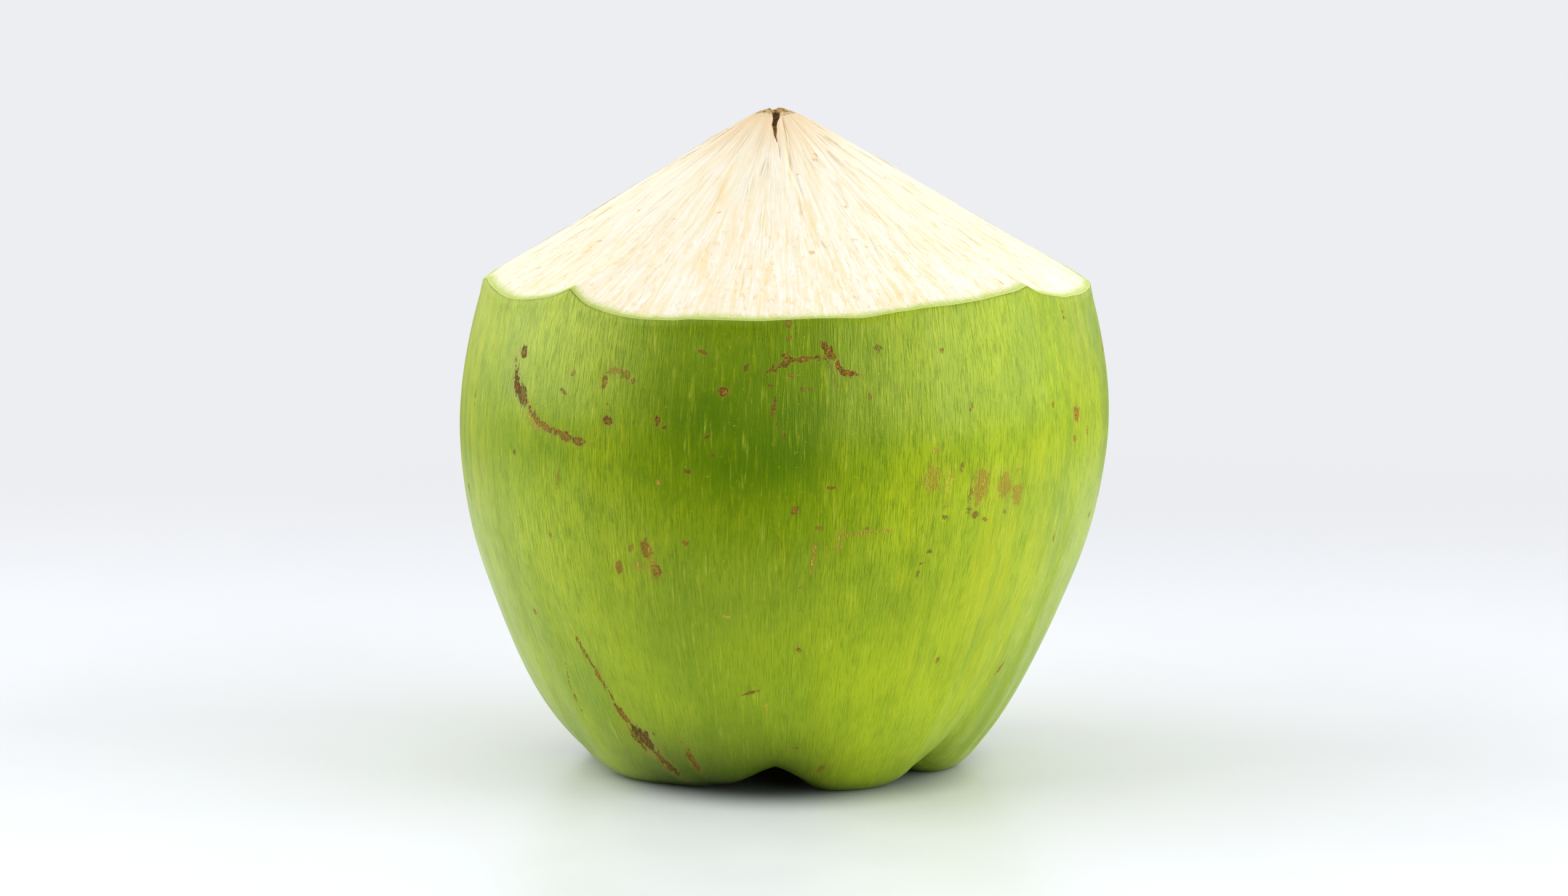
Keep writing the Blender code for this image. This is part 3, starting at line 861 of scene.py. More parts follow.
def new_group(name, inputs, outputs):
    """The board of an empty node group, its given values and its outputs.

    inputs are (label, default) pairs, and one without a default is a vector.
    """
    group = bpy.data.node_groups.new(name, "ShaderNodeTree")
    for label, default in inputs:
        kind = "NodeSocketVector" if default is None else "NodeSocketFloat"
        socket = group.interface.new_socket(label, in_out="INPUT", socket_type=kind)
        if default is not None:
            socket.default_value = default
    for label in outputs:
        group.interface.new_socket(label, in_out="OUTPUT", socket_type="NodeSocketFloat")
    board = Board(group)
    entry = board.add("NodeGroupInput")
    return board, entry.outputs, board.add("NodeGroupOutput").inputs


def use_group(board, name, build, inputs):
    """A node of a shared group, which is built the first time that it is used."""
    tree = bpy.data.node_groups.get(name) or build(name)
    return board.add("ShaderNodeGroup", inputs, node_tree=tree).outputs


def build_strands(name):
    """Streaks along the grain: noise squeezed across the strands, in two sizes."""
    inputs = [("Strands", None), ("Across", 900.0), ("Along", 40.0), ("Detail", 3.0)]
    board, given, made = new_group(name, inputs, ["Streaks", "Fine"])
    sizes = [(0, given["Across"]), (1, given["Across"]), (2, given["Along"])]
    scale = board.add("ShaderNodeCombineXYZ", sizes).outputs[0]
    place = board.scaled(given["Strands"], scale)
    board.put(made["Streaks"], board.noise(place, 1.0, given["Detail"], 0.6, 0.15))
    finer = board.scaled(place, (3.1, 3.1, 2.2))
    board.put(made["Fine"], board.noise(finer, 1.0, given["Detail"], 0.65))
    return board.tree


def streaks_of(board, strands, across, along, detail=4.0):
    """Streaks with so many across and along a metre of the strands."""
    inputs = [("Strands", strands), ("Across", across), ("Along", along), ("Detail", detail)]
    return use_group(board, "Strands", build_strands, inputs)


def build_blotches(name):
    """Patches of a size and a share of the surface, with ragged edges."""
    inputs = [("Place", None), ("Size", 40.0), ("From", 0.55), ("Softness", 0.1)]
    board, given, made = new_group(name, inputs, ["Mask"])
    value = board.noise(given["Place"], given["Size"], 5.0, 0.6)
    upper = board.plus(given["From"], given["Softness"])
    board.put(made["Mask"], board.between(value, given["From"], upper))
    return board.tree


def blotches_of(board, place, size, start, softness):
    """Patches, so many to a metre, where their noise is over the start."""
    inputs = [("Place", place), ("Size", size), ("From", start), ("Softness", softness)]
    return use_group(board, "Blotches", build_blotches, inputs)["Mask"]


def build_mark(name):
    """One layer of marks: how much of each point a mark covers, and its tone.

    The distance from the middle of the mark, in half lengths and half widths,
    is roughened by noise, more on a narrow mark. What lies within about 1 is
    covered, and a faint halo reaches twice as far. A dark mark is darker at
    its edge than in its middle.
    """
    inputs = [("Place", None), ("Kind", None), ("Ragged", 0.0), ("Grain", 0.0)]
    board, given, made = new_group(name, inputs, ["Cover", "Halo", "Tone"])
    along, across, inside = board.split(given["Place"])
    tone, strength, half_width = board.split(given["Kind"])
    away = board.length(board.add("ShaderNodeCombineXYZ", [(0, along), (1, across)]).outputs[0])
    narrowness = board.maths("DIVIDE", 1.0, board.most(half_width, 0.35))
    away = board.plus(away, board.times(given["Ragged"], board.plus(narrowness, 0.45)))
    present = board.times(strength, board.between(inside, 0.97, 1.0))
    cover = board.between(away, 0.80, 1.06, 1.0, 0.0)
    cover = board.times(cover, board.between(given["Grain"], 0.34, 0.50, 0.40, 1.0))
    board.put(made["Cover"], board.times(cover, present))
    halo = board.between(away, 0.8, 2.1, 0.38, 0.0)
    board.put(made["Halo"], board.times(halo, present))
    edge = board.between(away, 0.15, 0.80, 0.16, -0.14)
    edge = board.times(edge, board.between(tone, 0.30, 0.50, 1.0, 0.0))
    varied = board.plus(board.swing(given["Grain"], 1.9), edge)
    board.put(made["Tone"], board.plus(tone, varied, clamp=True))
    return board.tree


def new_material(name):
    material = bpy.data.materials.new(name)
    material.use_nodes = True
    shader = material.node_tree.nodes["Principled BSDF"]
    return material, Board(material.node_tree), shader


# ---------------------------------------------------------------------- rind
BLOOM = (0.52, 0.62, 0.075)
STAIN = (0.42, 0.30, 0.03)
# Dark green of the painted shade at the foot.
FOOT_SHADE_GREEN = (0.040, 0.082, 0.0005)
SCAR_HALO = (0.330, 0.270, 0.020)
CUT_EDGE = (0.17, 0.15, 0.02)
CALYX = (0.46, 0.47, 0.16)
DARK_CORK = (0.12, 0.065, 0.03)
SCAR_COLOURS = (
    (DARK, (0.062, 0.030, 0.010)),
    (RUST, (0.195, 0.038, 0.003)),
    (RUSSET, (0.370, 0.105, 0.008)),
    (BLUSH, (0.370, 0.185, 0.035)),
    (TAN, (0.450, 0.280, 0.040)),
    (YELLOW, (0.640, 0.600, 0.040)),
)


def skin_colour(board, settings, strands, broad, thin, cloudy):
    """Clear skin: cloudy green with dark and ripe streaks, painted glints, and painted shade at the
    foot.
    """
    tone = board.split(board.attribute("zone"))[0]
    foot, height, _ = board.split(board.attribute("ground"))
    ripe_and_painted_light = board.most(tone, 0.0)
    shaded = board.most(board.times(tone, -1.0), 0.0)
    deepness = board.plus(board.times(broad["Streaks"], 0.45), cloudy)
    green = board.mix(board.between(deepness, 0.52, 0.92), settings.deep, settings.light)
    uneven = board.times(board.swing(cloudy, 2.3, 0.53), shaded)
    # The dark green patches: partly the skin's own colour, partly painted shade.
    green = board.mix(board.plus(shaded, uneven, clamp=True), green, settings.shaded)

    streak = board.between(thin["Streaks"], 0.51, 0.68)
    streak = board.times(streak, board.between(broad["Fine"], 0.30, 0.65, 0.25, 1.0))
    streaked = board.between(height, 30.0 * MM, 70.0 * MM, 0.42, 0.58)
    streaked = board.times(streaked, board.between(shaded, 0.2, 1.0, 1.0, 0.72))
    green = board.tint(green, settings.yellow, streak, streaked)
    lined = board.between(height, 30.0 * MM, 70.0 * MM, 0.44, 0.64)
    green = board.tint(green, settings.shaded, board.between(thin["Fine"], 0.52, 0.38), lined)
    mottle = board.noise(board.scaled(strands, (1.0, 1.0, 0.55)), 330.0, 5.0, 0.68)
    mottled = board.between(height, 35.0 * MM, 75.0 * MM, 0.17, 0.36)
    green = board.tint(green, settings.shaded, board.between(mottle, 0.50, 0.34), mottled)
    bloom = board.times(board.between(mottle, 0.52, 0.68), streak)
    green = board.tint(green, BLOOM, bloom, 0.55)

    green = board.tint(green, settings.yellow, ripe_and_painted_light, board.between(broad["Fine"], 0.36, 0.62))
    # Painted glints: small light-yellow flecks stand for the glints of the waxy skin.
    painted_glints = blotches_of(board, strands, 1100.0, 0.64, 0.08)
    green = board.tint(green, settings.yellow, painted_glints, 0.60)
    green = board.tint(green, STAIN, blotches_of(board, strands, 95.0, 0.60, 0.16), 0.16)
    # Painted shade: the skin is darkened near the ground, most in the foot's shade patches.
    return board.tint(green, FOOT_SHADE_GREEN, foot, board.between(cloudy, 0.3, 0.7, 0.70, 1.0))


def scarred_colour(board, colour, strands, grain):
    """The colour with every mark laid over it, and how far each point is scarred."""
    ragged = board.noise(board.scaled(strands, (1.0, 1.0, 0.8)), 780.0, 5.0, 0.72)
    ragged = board.swing(ragged, 2.9)
    scarred = 0.0
    for layer in range(MARK_LAYERS):
        inputs = [
            ("Place", board.attribute(f"mark_place_{layer}")),
            ("Kind", board.attribute(f"mark_kind_{layer}")),
            ("Ragged", ragged),
            ("Grain", grain),
        ]
        mark = use_group(board, "Skin mark", build_mark, inputs)
        colour = board.mix(mark["Halo"], colour, SCAR_HALO)
        colour = board.mix(mark["Cover"], colour, board.ramp(mark["Tone"], SCAR_COLOURS))
        scarred = board.most(scarred, mark["Cover"])
    return colour, scarred


def pit_colour(board, settings, colour, strands, from_pit):
    """The ringed corky scar in the stem pit, in the pale ring that the calyx hid."""
    reach = board.plus(from_pit, board.swing(board.noise(strands, 160.0, 4.0), 14.0 * MM))
    hidden = board.between(reach, 19.0 * MM, 26.0 * MM, 1.0, 0.0)
    colour = board.tint(colour, CALYX, hidden, 0.75)
    cork = board.between(reach, 10.5 * MM, 12.5 * MM, 1.0, 0.0)
    rings = board.noise(board.scaled(strands, (0.2, 0.2, 1.0)), 1500.0, 3.0, 0.7)
    corky = board.mix(board.between(rings, 0.35, 0.65), DARK_CORK, settings.stem)
    return board.mix(cork, colour, corky), cork, rings


def rind_material(settings):
    """Waxy green skin with strands, ripe streaks, scars and a corky stem scar."""
    material, board, shader = new_material("green_rind")
    strands = board.attribute("strands")
    _, from_pit, from_rim = board.split(board.attribute("zone"))
    broad = streaks_of(board, strands, 110.0, 11.0)
    thin = streaks_of(board, strands, 1350.0, 125.0, 3.0)
    cloudy = board.noise(strands, 34.0, 5.0, 0.62)
    grain = board.noise(board.scaled(strands, (1.0, 1.0, 0.5)), 2600.0, 2.0, 0.6)
    colour = skin_colour(board, settings, strands, broad, thin, cloudy)
    colour, scarred = scarred_colour(board, colour, strands, grain)
    edge = board.between(from_rim, 0.0, 0.5 * MM, 1.0, 0.0)
    colour = board.tint(colour, CUT_EDGE, edge, board.between(cloudy, 0.46, 0.60, 0.10, 0.75))
    colour, cork, rings = pit_colour(board, settings, colour, strands, from_pit)
    board.put(shader.inputs["Base Color"], colour)

    rough = board.between(thin["Streaks"], 0.25, 0.75, 0.28, 0.36)
    rough = board.plus(rough, board.times(scarred, 0.45))
    rough = board.plus(rough, board.times(cork, 0.35), clamp=True)
    board.put(shader.inputs["Roughness"], rough)
    waxy = board.maths("SUBTRACT", 1.0, board.most(scarred, cork))
    coat = board.times(board.between(thin["Fine"], 0.36, 0.64, 0.0, 0.22), waxy)
    board.put(shader.inputs["Coat Weight"], coat)
    shader.inputs["Coat Roughness"].default_value = 0.20
    shader.inputs["Specular IOR Level"].default_value = 0.5
    shader.inputs["Specular Tint"].default_value = (0.95, 1.0, 0.30, 1.0)

    lines = board.plus(thin["Streaks"], board.times(thin["Fine"], 0.6))
    lines = board.plus(lines, board.times(board.noise(strands, 2400.0), 0.35))
    normal = board.bump(lines, 0.24 * MM, 0.75)
    scabs = board.times(scarred, board.between(grain, 0.3, 0.7, -0.4, 1.0))
    normal = board.bump(scabs, 0.22 * MM, 0.8, normal)
    normal = board.bump(board.times(cork, rings), 0.8 * MM, 0.8, normal)
    board.put(shader.inputs["Normal"], normal)
    return material


def skin_tone(direction, height):
    """1 where the skin is ripe yellow or painted lighter, -1 in the dark green patches.

    The ripe places are hills in (direction, height); the one on the left flank
    is painted light. A dark patch is a hill across and follows a profile up the
    fruit, and is partly the skin's own deep green and partly painted shade.
    """
    ripe_and_painted_light = 0.30 * hill(direction, 66.0, 9.0) * smooth_step(height, 68.0 * MM, 92.0 * MM)
    ripe_and_painted_light += 0.30 * hill(direction, 205.0, 30.0)
    ripe_and_painted_light += 0.55 * hill(direction, 51.0, 7.0) * np.exp(-(((height - 77.0 * MM) / (5.0 * MM)) ** 2))
    # Painted light: the left flank is made lighter and yellower for the light that falls on it from
    # the left.
    ripe_and_painted_light += 0.50 * hill(direction, -74.0, 16.0) * smooth_step(height, 40.0 * MM, 72.0 * MM)
    low = smooth_step(height, 14.0 * MM, 30.0 * MM) - smooth_step(height, 58.0 * MM, 80.0 * MM)
    ripe_and_painted_light += 0.50 * hill(direction, 44.0, 17.0) * low
    # The dark patches are partly painted shade.
    up = np.interp(height / MM, SHADE_HEIGHTS, SHADE_LEVELS)
    shaded = np.zeros_like(height)
    for degrees, left, right, level in SHADE_PATCHES:
        across = hill(direction, degrees, left, right, power=3.2)
        shaded = np.maximum(shaded, level * across * up)
    return np.clip(ripe_and_painted_light, 0.0, 1.0) * (1.0 - shaded) - shaded


def rind_relief(settings, direction, radius, height, climb, dent):
    """How far each point of the skin lies under the smooth husk, never over it.

    The broad unevenness, the strands and the low strands near the foot are
    taken from the most that they can raise, and the flutes up from the stem
    end and the dents of the marks are sunk into the rest.
    """
    proud = 0.90 * settings.relief + 2.0 * settings.strand_height + 0.08 * MM
    raised = settings.relief * waves(direction, climb, BROAD_WAVES)
    raised += settings.strand_height * strand_noise(
        direction, climb, settings.strands, 16.0 * MM, 13
    )
    raised += settings.strand_height * waves(direction, climb, ROPE_WAVES)
    raised += waves(direction, climb, FOOT_WAVES) * np.exp(-height / FOOT_CLIMB)
    sunk = np.zeros_like(radius)
    for degrees, depth, half_width, climb_out in FLUTES:
        aside = turn_apart(direction, degrees) * radius
        sunk += depth * np.exp(-((aside / half_width) ** 2) - height / climb_out)
    return np.maximum(proud - raised, 0.02 * MM) + sunk + dent


def rind_grid(settings):
    """The skin's rings from the stem pit to the rim, its lip and its inner cap.

    A ring's share of the outline runs in even steps from the pit to where the
    knife cut that direction, so the last ring lies on the rim. The relief
    fades out at the foot and at the rim. The lip turns over the edge of the
    cut, and the cap closes the skin under the husk.
    """
    columns, rows = settings.columns, settings.rows
    direction = np.tile(np.arange(columns) / columns * TURN, (rows, 1))
    reach = np.linspace(0.02, 1.0, rows)[:, None]
    share = rim_share(direction[:1]) * reach
    rings = husk_points(direction, share)
    radius, height, _, _ = outline_at(share)
    steps = np.linalg.norm(np.diff(rings, axis=0), axis=-1)
    climb = np.vstack([np.zeros(columns), np.cumsum(steps, axis=0)])
    to_rim = climb[-1] - climb
    places, kinds, dent = mark_layers(direction, share, radius)
    relief = rind_relief(settings, direction, radius, np.maximum(height, 0.0), climb, dent)
    relief *= smooth_step(rings[..., 2], 0.0, 7.0 * MM) * smooth_step(to_rim, 0.0, 3.5 * MM)
    rings = rings - grid_normals(rings) * relief[..., None]
    rings[..., 2] = np.maximum(rings[..., 2], 0.0)

    # Painted shade at the foot: strongest in the listed patches, gone by 25 mm up.
    foot_shade_spread = np.full(direction.shape, 0.12)
    for degrees, reach_out in FOOT_SHADE_PATCHES:
        foot_shade_spread = np.maximum(foot_shade_spread, hill(direction, degrees, reach_out, power=4.0))
    foot = (1.0 - smooth_step(height, 1.0 * MM, 25.0 * MM)) * foot_shade_spread
    values = {
        "strands": grain_place(direction, climb),
        "zone": np.stack([skin_tone(direction, height), climb, to_rim], axis=-1),
        "ground": np.stack([foot, height, np.zeros_like(foot)], axis=-1),
    }
    for layer in range(MARK_LAYERS):
        values[f"mark_place_{layer}"] = places[layer]
        values[f"mark_kind_{layer}"] = kinds[layer]

    rim = rings[-1]
    lip = [ring_inside(rim, inset, drop) for inset, drop in RIND_LIP]
    lip += [ring_inside(rim, inset, drop, under_cut=False) for inset, drop in RIND_CAP]
    start = np.array([0.0, 0.0, rings[0, :, 2].mean()])
    end = np.array([0.0, 0.0, rim[:, 2].min() - 12.0 * MM])
    attributes = {name: carried(value, after=len(lip)) for name, value in values.items()}
    return start, np.concatenate([rings, np.stack(lip)]), end, attributes


class GREEN_COCONUT_OT_add_rind(bpy.types.Operator):
    """Add the waxy green rind, from the stem pit to the rim of the cut"""

    bl_idname = "green_coconut.add_rind"
    bl_label = "Green Rind"

    def execute(self, context):
        settings = context.scene.coconut_rind
        add_piece("green_rind", rind_grid(settings), rind_material(settings))
        return {"FINISHED"}


# ----------------------------------------------------------------- bare husk
def split_depth(x, y):
    """Depth of the split: a wedge down the front of the tip, and crumbs round it."""
    turned = math.radians(SPLIT_AT)
    ahead = -y * math.cos(turned) + x * math.sin(turned)
    aside = x * math.cos(turned) + y * math.sin(turned)
    wander = 0.22 * MM * np.sin(ahead / (1.9 * MM)) + 0.10 * MM * np.sin(ahead / (0.7 * MM))
    share = np.clip(ahead / SPLIT_LENGTH, 0.0, 1.0)
    half_width = SPLIT_HALF_WIDTH * (1.0 - share) ** 0.8 + 0.02 * MM
    open_here = 1.0 - smooth_step(np.abs(aside - wander) / half_width, 0.55, 1.0)
    open_here *= smooth_step(ahead, 0.0, 1.5 * MM) * (ahead < SPLIT_LENGTH)
    return SPLIT_DEPTH * open_here * (1.0 - 0.6 * share), open_here


def nick_depth(direction, radius):
    """Depth of the nicks: thin grooves along the strands, tapered at both ends."""
    depth = np.zeros_like(radius)
    for degrees, inner, outer, half_width, deepest in NICKS:
        aside = turn_apart(direction, degrees) * radius - 0.25 * MM * np.sin(radius / (2.3 * MM))
        middle, half_length = 0.5 * (inner + outer), 0.5 * (outer - inner)
        along = np.clip(1.0 - ((radius - middle) / half_length) ** 2, 0.0, 1.0)
        depth += deepest * along * np.exp(-((aside / half_width) ** 2))
    return depth


def cut_relief(settings, direction, along, radius, from_rim):
    """Depth between the strands of the cut, with cut ends towards the rim."""
    streaks = strand_noise(direction, along, settings.strands, 13.0 * MM, 21)
    streaks += 0.6 * strand_noise(direction, along, 97, 24.0 * MM, 22)
    fine = strand_noise(direction, along, 420, 5.0 * MM, 23)
    ends = strand_noise(direction, along, 520, 1.1 * MM, 24)
    near_rim = smooth_step(radius, 40.0 * MM, 66.0 * MM)
    off_tip = smooth_step(radius, 2.0 * MM, 25.0 * MM)
    sunk = (1.6 - streaks) * (1.0 - 0.55 * near_rim) * off_tip
    sunk += 0.35 * (1.0 - fine) * off_tip + 0.30 * (1.0 - ends) * near_rim
    return settings.strand_depth * sunk * smooth_step(from_rim, 0.0, 2.5 * MM)


def crumb_depth(x, y, radius):
    """Depth of the crumbs that the knife left round the very tip."""
    crumbs = 1.0 - smooth_step(radius, 0.4 * STUB_RADIUS, 1.6 * STUB_RADIUS)
    rough = waves(x / CRUMB_SPAN * TURN, y, CRUMB_WAVES)
    return CRUMB_DEPTH * crumbs * np.maximum(1.15 - rough, 0.05)


def husk_grid(settings):
    """The cut's rings: the hidden underside outwards, then the cut up to the tip.

    A ring of the cut lies at a share of the way from the rim to the axis, at the
    height of the knife's cut. Strands, nicks, crumbs and the split are then sunk
    into it straight down.
    """
    columns, rows = settings.columns, settings.rows
    direction = np.arange(columns) / columns * TURN
    rim = husk_points(direction, rim_share(direction))
    reach = np.hypot(rim[:, 0], rim[:, 1])
    way = 1.0 - np.linspace(0.0, 1.0, rows + 1)[:-1, None] ** 0.86
    radius = np.maximum(way, 0.35 / rows) * (reach - HUSK_INSET)
    heading = np.tile(np.arctan2(rim[:, 0], -rim[:, 1]), (rows, 1))
    x, y = radius * np.sin(heading), -radius * np.cos(heading)
    slope = math.sqrt(1.0 + CONE_FALL**2)
    from_rim, along = (reach - radius) * slope, radius * slope
    split, split_open = split_depth(x, y)
    nicks = nick_depth(heading, radius)
    sunk = cut_relief(settings, heading, along, radius, from_rim) + nicks + split
    sunk += crumb_depth(x, y, radius) * (1.0 - split_open)
    top = np.stack([x, y, pared_height(x, y) - sunk], axis=-1)

    under = []
    for share, drop in HUSK_UNDERSIDE:
        ring = top[0] * (share, share, 1.0)
        ring[:, 2] = pared_height(ring[:, 0], ring[:, 1]) - drop * MM
        under.append(ring)
    under += [ring_inside(top[0], inset, drop) for inset, drop in HUSK_EDGE]
    rings = np.concatenate([np.stack(under), top])
    opened = np.clip(split_open + 0.5 * nicks / MM, 0.0, 1.0)
    cut = np.stack([from_rim, radius, opened], axis=-1)
    values = {"strands": grain_place(heading, along), "cut": cut}
    attributes = {name: carried(value, before=len(under)) for name, value in values.items()}
    start = np.array([0.0, 0.0, rings[0, :, 2].mean()])
    end = np.array([0.0, 0.0, top[-1, :, 2].mean()])
    return start, rings, end, attributes


CREAM = (0.870, 0.765, 0.500)
WHITE = (0.945, 0.912, 0.830)
GOLDEN = (0.90, 0.69, 0.32)
SPECK = (0.72, 0.47, 0.15)
TIP_TINT = (0.82, 0.58, 0.30)
SPLIT_DUST = (0.46, 0.25, 0.07)
NICK_BROWN = (0.50, 0.30, 0.12)
BAND_DEEP = (0.400, 0.550, 0.060)
BAND_EDGE = (0.66, 0.70, 0.24)
CRUMB_COLOURS = ((0.42, (0.40, 0.20, 0.045)), (0.50, (0.72, 0.48, 0.16)), (0.62, (0.86, 0.68, 0.34)))


def cut_colour(board, settings, strands, radius, long_ones, broad, cut_ends):
    """Cream and white strands, browned and golden ones, threads and cut ends."""
    cream = board.between(long_ones["Streaks"], 0.32, 0.62)
    base = board.mix(cream, CREAM, settings.pale)
    base = board.tint(base, WHITE, board.between(long_ones["Fine"], 0.44, 0.62), 0.80)
    browned = board.between(long_ones["Streaks"], 0.42, 0.62)
    browned = board.times(board.between(broad["Streaks"], 0.50, 0.72), browned)
    base = board.tint(base, settings.tan, browned, 0.62)
    golden = board.noise(board.scaled(strands, (1.0, 1.0, 0.45)), 105.0, 4.0, 0.62)
    base = board.mix(board.between(golden, 0.53, 0.70, 0.0, 0.58), base, GOLDEN)
    thread = board.between(broad["Fine"], 0.62, 0.72)
    thread = board.times(thread, board.between(radius, 10.0 * MM, 26.0 * MM))
    base = board.tint(base, settings.tan, thread, 0.50)
    base = board.tint(base, settings.tan, cut_ends, 0.55)
    return board.tint(base, SPECK, blotches_of(board, board.place(), 190.0, 0.67, 0.05), 0.75)


def tip_colour(board, settings, base, radius, opened, broad, crumb, stub):
    """The base tinted towards the tip, with a crumbly stub, a split and nicks."""
    reach = board.plus(radius, board.swing(broad["Streaks"], 34.0 * MM))
    base = board.tint(base, TIP_TINT, board.between(reach, 3.0 * MM, 24.0 * MM, 1.0, 0.0), 0.72)
    stops = ((0.33, settings.brown[:]), *CRUMB_COLOURS)
    base = board.mix(stub, base, board.ramp(crumb, stops))
    inside = board.mix(board.between(crumb, 0.44, 0.64), settings.brown, SPLIT_DUST)
    inside = board.mix(board.between(radius, 6.0 * MM, 12.0 * MM), inside, NICK_BROWN)
    return board.mix(board.between(opened, 0.2, 0.8), base, inside)


def band_colour(board, settings, base, place, from_rim):
    """The green band along the rim: wide and pale, narrow and deep, and its edge."""
    patchy = board.noise(place, 120.0, 3.0, 0.6)
    ragged = board.swing(board.noise(place, 1300.0, 4.0, 0.7), 2.6 * MM)
    reach = board.plus(from_rim, board.plus(ragged, board.swing(patchy, 2.2 * MM)))
    band = settings.band
    wide = board.between(reach, 0.30 * band, 1.55 * band, 1.0, 0.0)
    base = board.tint(base, settings.green, wide, 0.86)
    narrow = board.between(reach, 0.05 * band, 0.75 * band, 1.0, 0.0)
    base = board.tint(base, BAND_DEEP, narrow, board.between(patchy, 0.38, 0.60, 0.25, 0.9))
    edge = board.between(from_rim, 0.30 * MM, 0.62 * MM, 1.0, 0.0)
    edge = board.times(edge, board.between(patchy, 0.36, 0.56, 0.35, 1.0))
    return board.tint(base, BAND_EDGE, edge, 0.85)


def husk_material(settings):
    """Bare husk: pale strands with browned ones, a green band and a brown tip."""
    material, board, shader = new_material("pared_husk")
    strands = board.attribute("strands")
    place = board.place()
    from_rim, radius, opened = board.split(board.attribute("cut"))
    long_ones = streaks_of(board, strands, 430.0, 52.0)
    broad = streaks_of(board, strands, 120.0, 26.0)
    short_ones = streaks_of(board, strands, 820.0, 420.0, 3.0)
    cut_ends = board.between(short_ones["Streaks"], 0.53, 0.68)
    cut_ends = board.times(cut_ends, board.between(radius, 26.0 * MM, 50.0 * MM))
    cut_ends = board.times(cut_ends, board.between(broad["Fine"], 0.34, 0.58, 0.3, 1.0))
    crumb = board.noise(place, 1100.0, 4.0, 0.7)
    stub_reach = board.plus(radius, board.swing(crumb, 8.5 * MM))
    stub = board.between(stub_reach, 2.2 * MM, 5.2 * MM, 1.0, 0.0)
    base = cut_colour(board, settings, strands, radius, long_ones, broad, cut_ends)
    base = tip_colour(board, settings, base, radius, opened, broad, crumb, stub)
    board.put(shader.inputs["Base Color"], band_colour(board, settings, base, place, from_rim))
    rough = board.between(long_ones["Streaks"], 0.2, 0.8, 0.95, 0.72)
    board.put(shader.inputs["Roughness"], rough)
    shader.inputs["Specular IOR Level"].default_value = 0.28
    height = board.plus(long_ones["Streaks"], board.times(long_ones["Fine"], 0.55))
    height = board.maths("SUBTRACT", height, board.times(cut_ends, 0.35))
    normal = board.bump(height, 0.30 * MM, 0.7)
    crumbly = board.times(crumb, board.plus(stub, 0.12))
    board.put(shader.inputs["Normal"], board.bump(crumbly, 1.0 * MM, 0.8, normal))
    return material


class GREEN_COCONUT_OT_add_husk(bpy.types.Operator):
    """Add the cone of bare husk with its split tip"""

    bl_idname = "green_coconut.add_husk"
    bl_label = "Pared Husk"

    def execute(self, context):
        settings = context.scene.coconut_husk
        add_piece("pared_husk", husk_grid(settings), husk_material(settings))
        return {"FINISHED"}


# -------------------------------------------------------------- loose strands
def strand_mesh(name, settings):
    """Fine strands that the knife left lying on the cone, as thin closed tubes.

    Each strand starts at a random place of the cone and runs outwards along it
    with a slow bend, a hair over the cut, so its centre line is (start radius +
    length times share, start direction + bend times share squared). Round the
    line runs a triangle that narrows to nothing at both ends.
    """
    rng = np.random.default_rng(31)
    count, along, sides = settings.loose, 9, 3
    first = rng.uniform(7.0, 52.0, (count, 1)) * MM
    length = rng.uniform(2.5, 9.0, (count, 1)) * MM
    direction = rng.uniform(0.0, TURN, (count, 1))
    bend = rng.normal(0.0, 0.7, (count, 1)) * MM
    lift = rng.uniform(0.02, 0.30, (count, 1)) ** 2 * 3.0 * MM
    thick = rng.uniform(0.05, 0.11, (count, 1)) * MM
    share = np.linspace(0.0, 1.0, along)
    radius = first + length * share
    turned = direction + bend * share**2 / radius
    x, y = radius * np.sin(turned), -radius * np.cos(turned)
    z = pared_height(x, y) + lift * np.sin(math.pi * share) - 0.10 * MM
    line = np.stack([x, y, z], axis=-1)[:, :, None]
    width = thick * np.sin(math.pi * np.clip(share, 0.02, 0.98)) ** 0.5
    corner = (np.arange(sides) / sides * TURN)[:, None]
    side_way = np.stack([np.cos(turned), np.sin(turned), np.zeros_like(turned)], axis=-1)
    offset = side_way[:, :, None] * np.cos(corner) + UP * np.sin(corner)
    points = (line + offset * width[:, :, None, None]).reshape(-1, 3) + place_shift()
    start = (np.arange(count) * along * sides)[:, None, None]
    row = start + (np.arange(along - 1) * sides)[None, :, None]
    here = np.arange(sides)
    after = (here + 1) % sides
    ring, next_ring = (row + here, row + after), (row + sides + here, row + sides + after)
    quads = np.stack([ring[0], next_ring[0], next_ring[1], ring[1]], axis=-1).reshape(-1, 4)
    one = start[:, 0]
    caps = np.concatenate([one + [0, 1, 2], one + (along - 1) * sides + [2, 1, 0]])
    mesh = bpy.data.meshes.new(name)
    mesh.from_pydata(points.tolist(), [], quads.tolist() + caps.tolist())
    mesh.update()
    mesh.shade_smooth()
    return mesh


def strand_material(settings):
    """Dry strands: pale, with a browned one here and there."""
    material, board, shader = new_material("husk_strand")
    place = board.place()
    browned = blotches_of(board, place, 160.0, 0.48, 0.22)
    colour = board.mix(board.times(browned, 0.6), settings.pale, settings.tan)
    board.put(shader.inputs["Base Color"], colour)
    board.put(shader.inputs["Roughness"], board.between(browned, 0.0, 1.0, 0.7, 0.9))
    normal = board.bump(board.noise(place, 5000.0), 0.06 * MM, 0.6)
    board.put(shader.inputs["Normal"], normal)
    return material


class GREEN_COCONUT_OT_add_loose_strands(bpy.types.Operator):
    """Add the fine loose strands that lie on the bare husk"""

    bl_idname = "green_coconut.add_loose_strands"
    bl_label = "Loose Strands"

    def execute(self, context):
        settings = context.scene.coconut_husk
        place_piece(strand_mesh("loose_strands", settings), strand_material(settings))
        return {"FINISHED"}


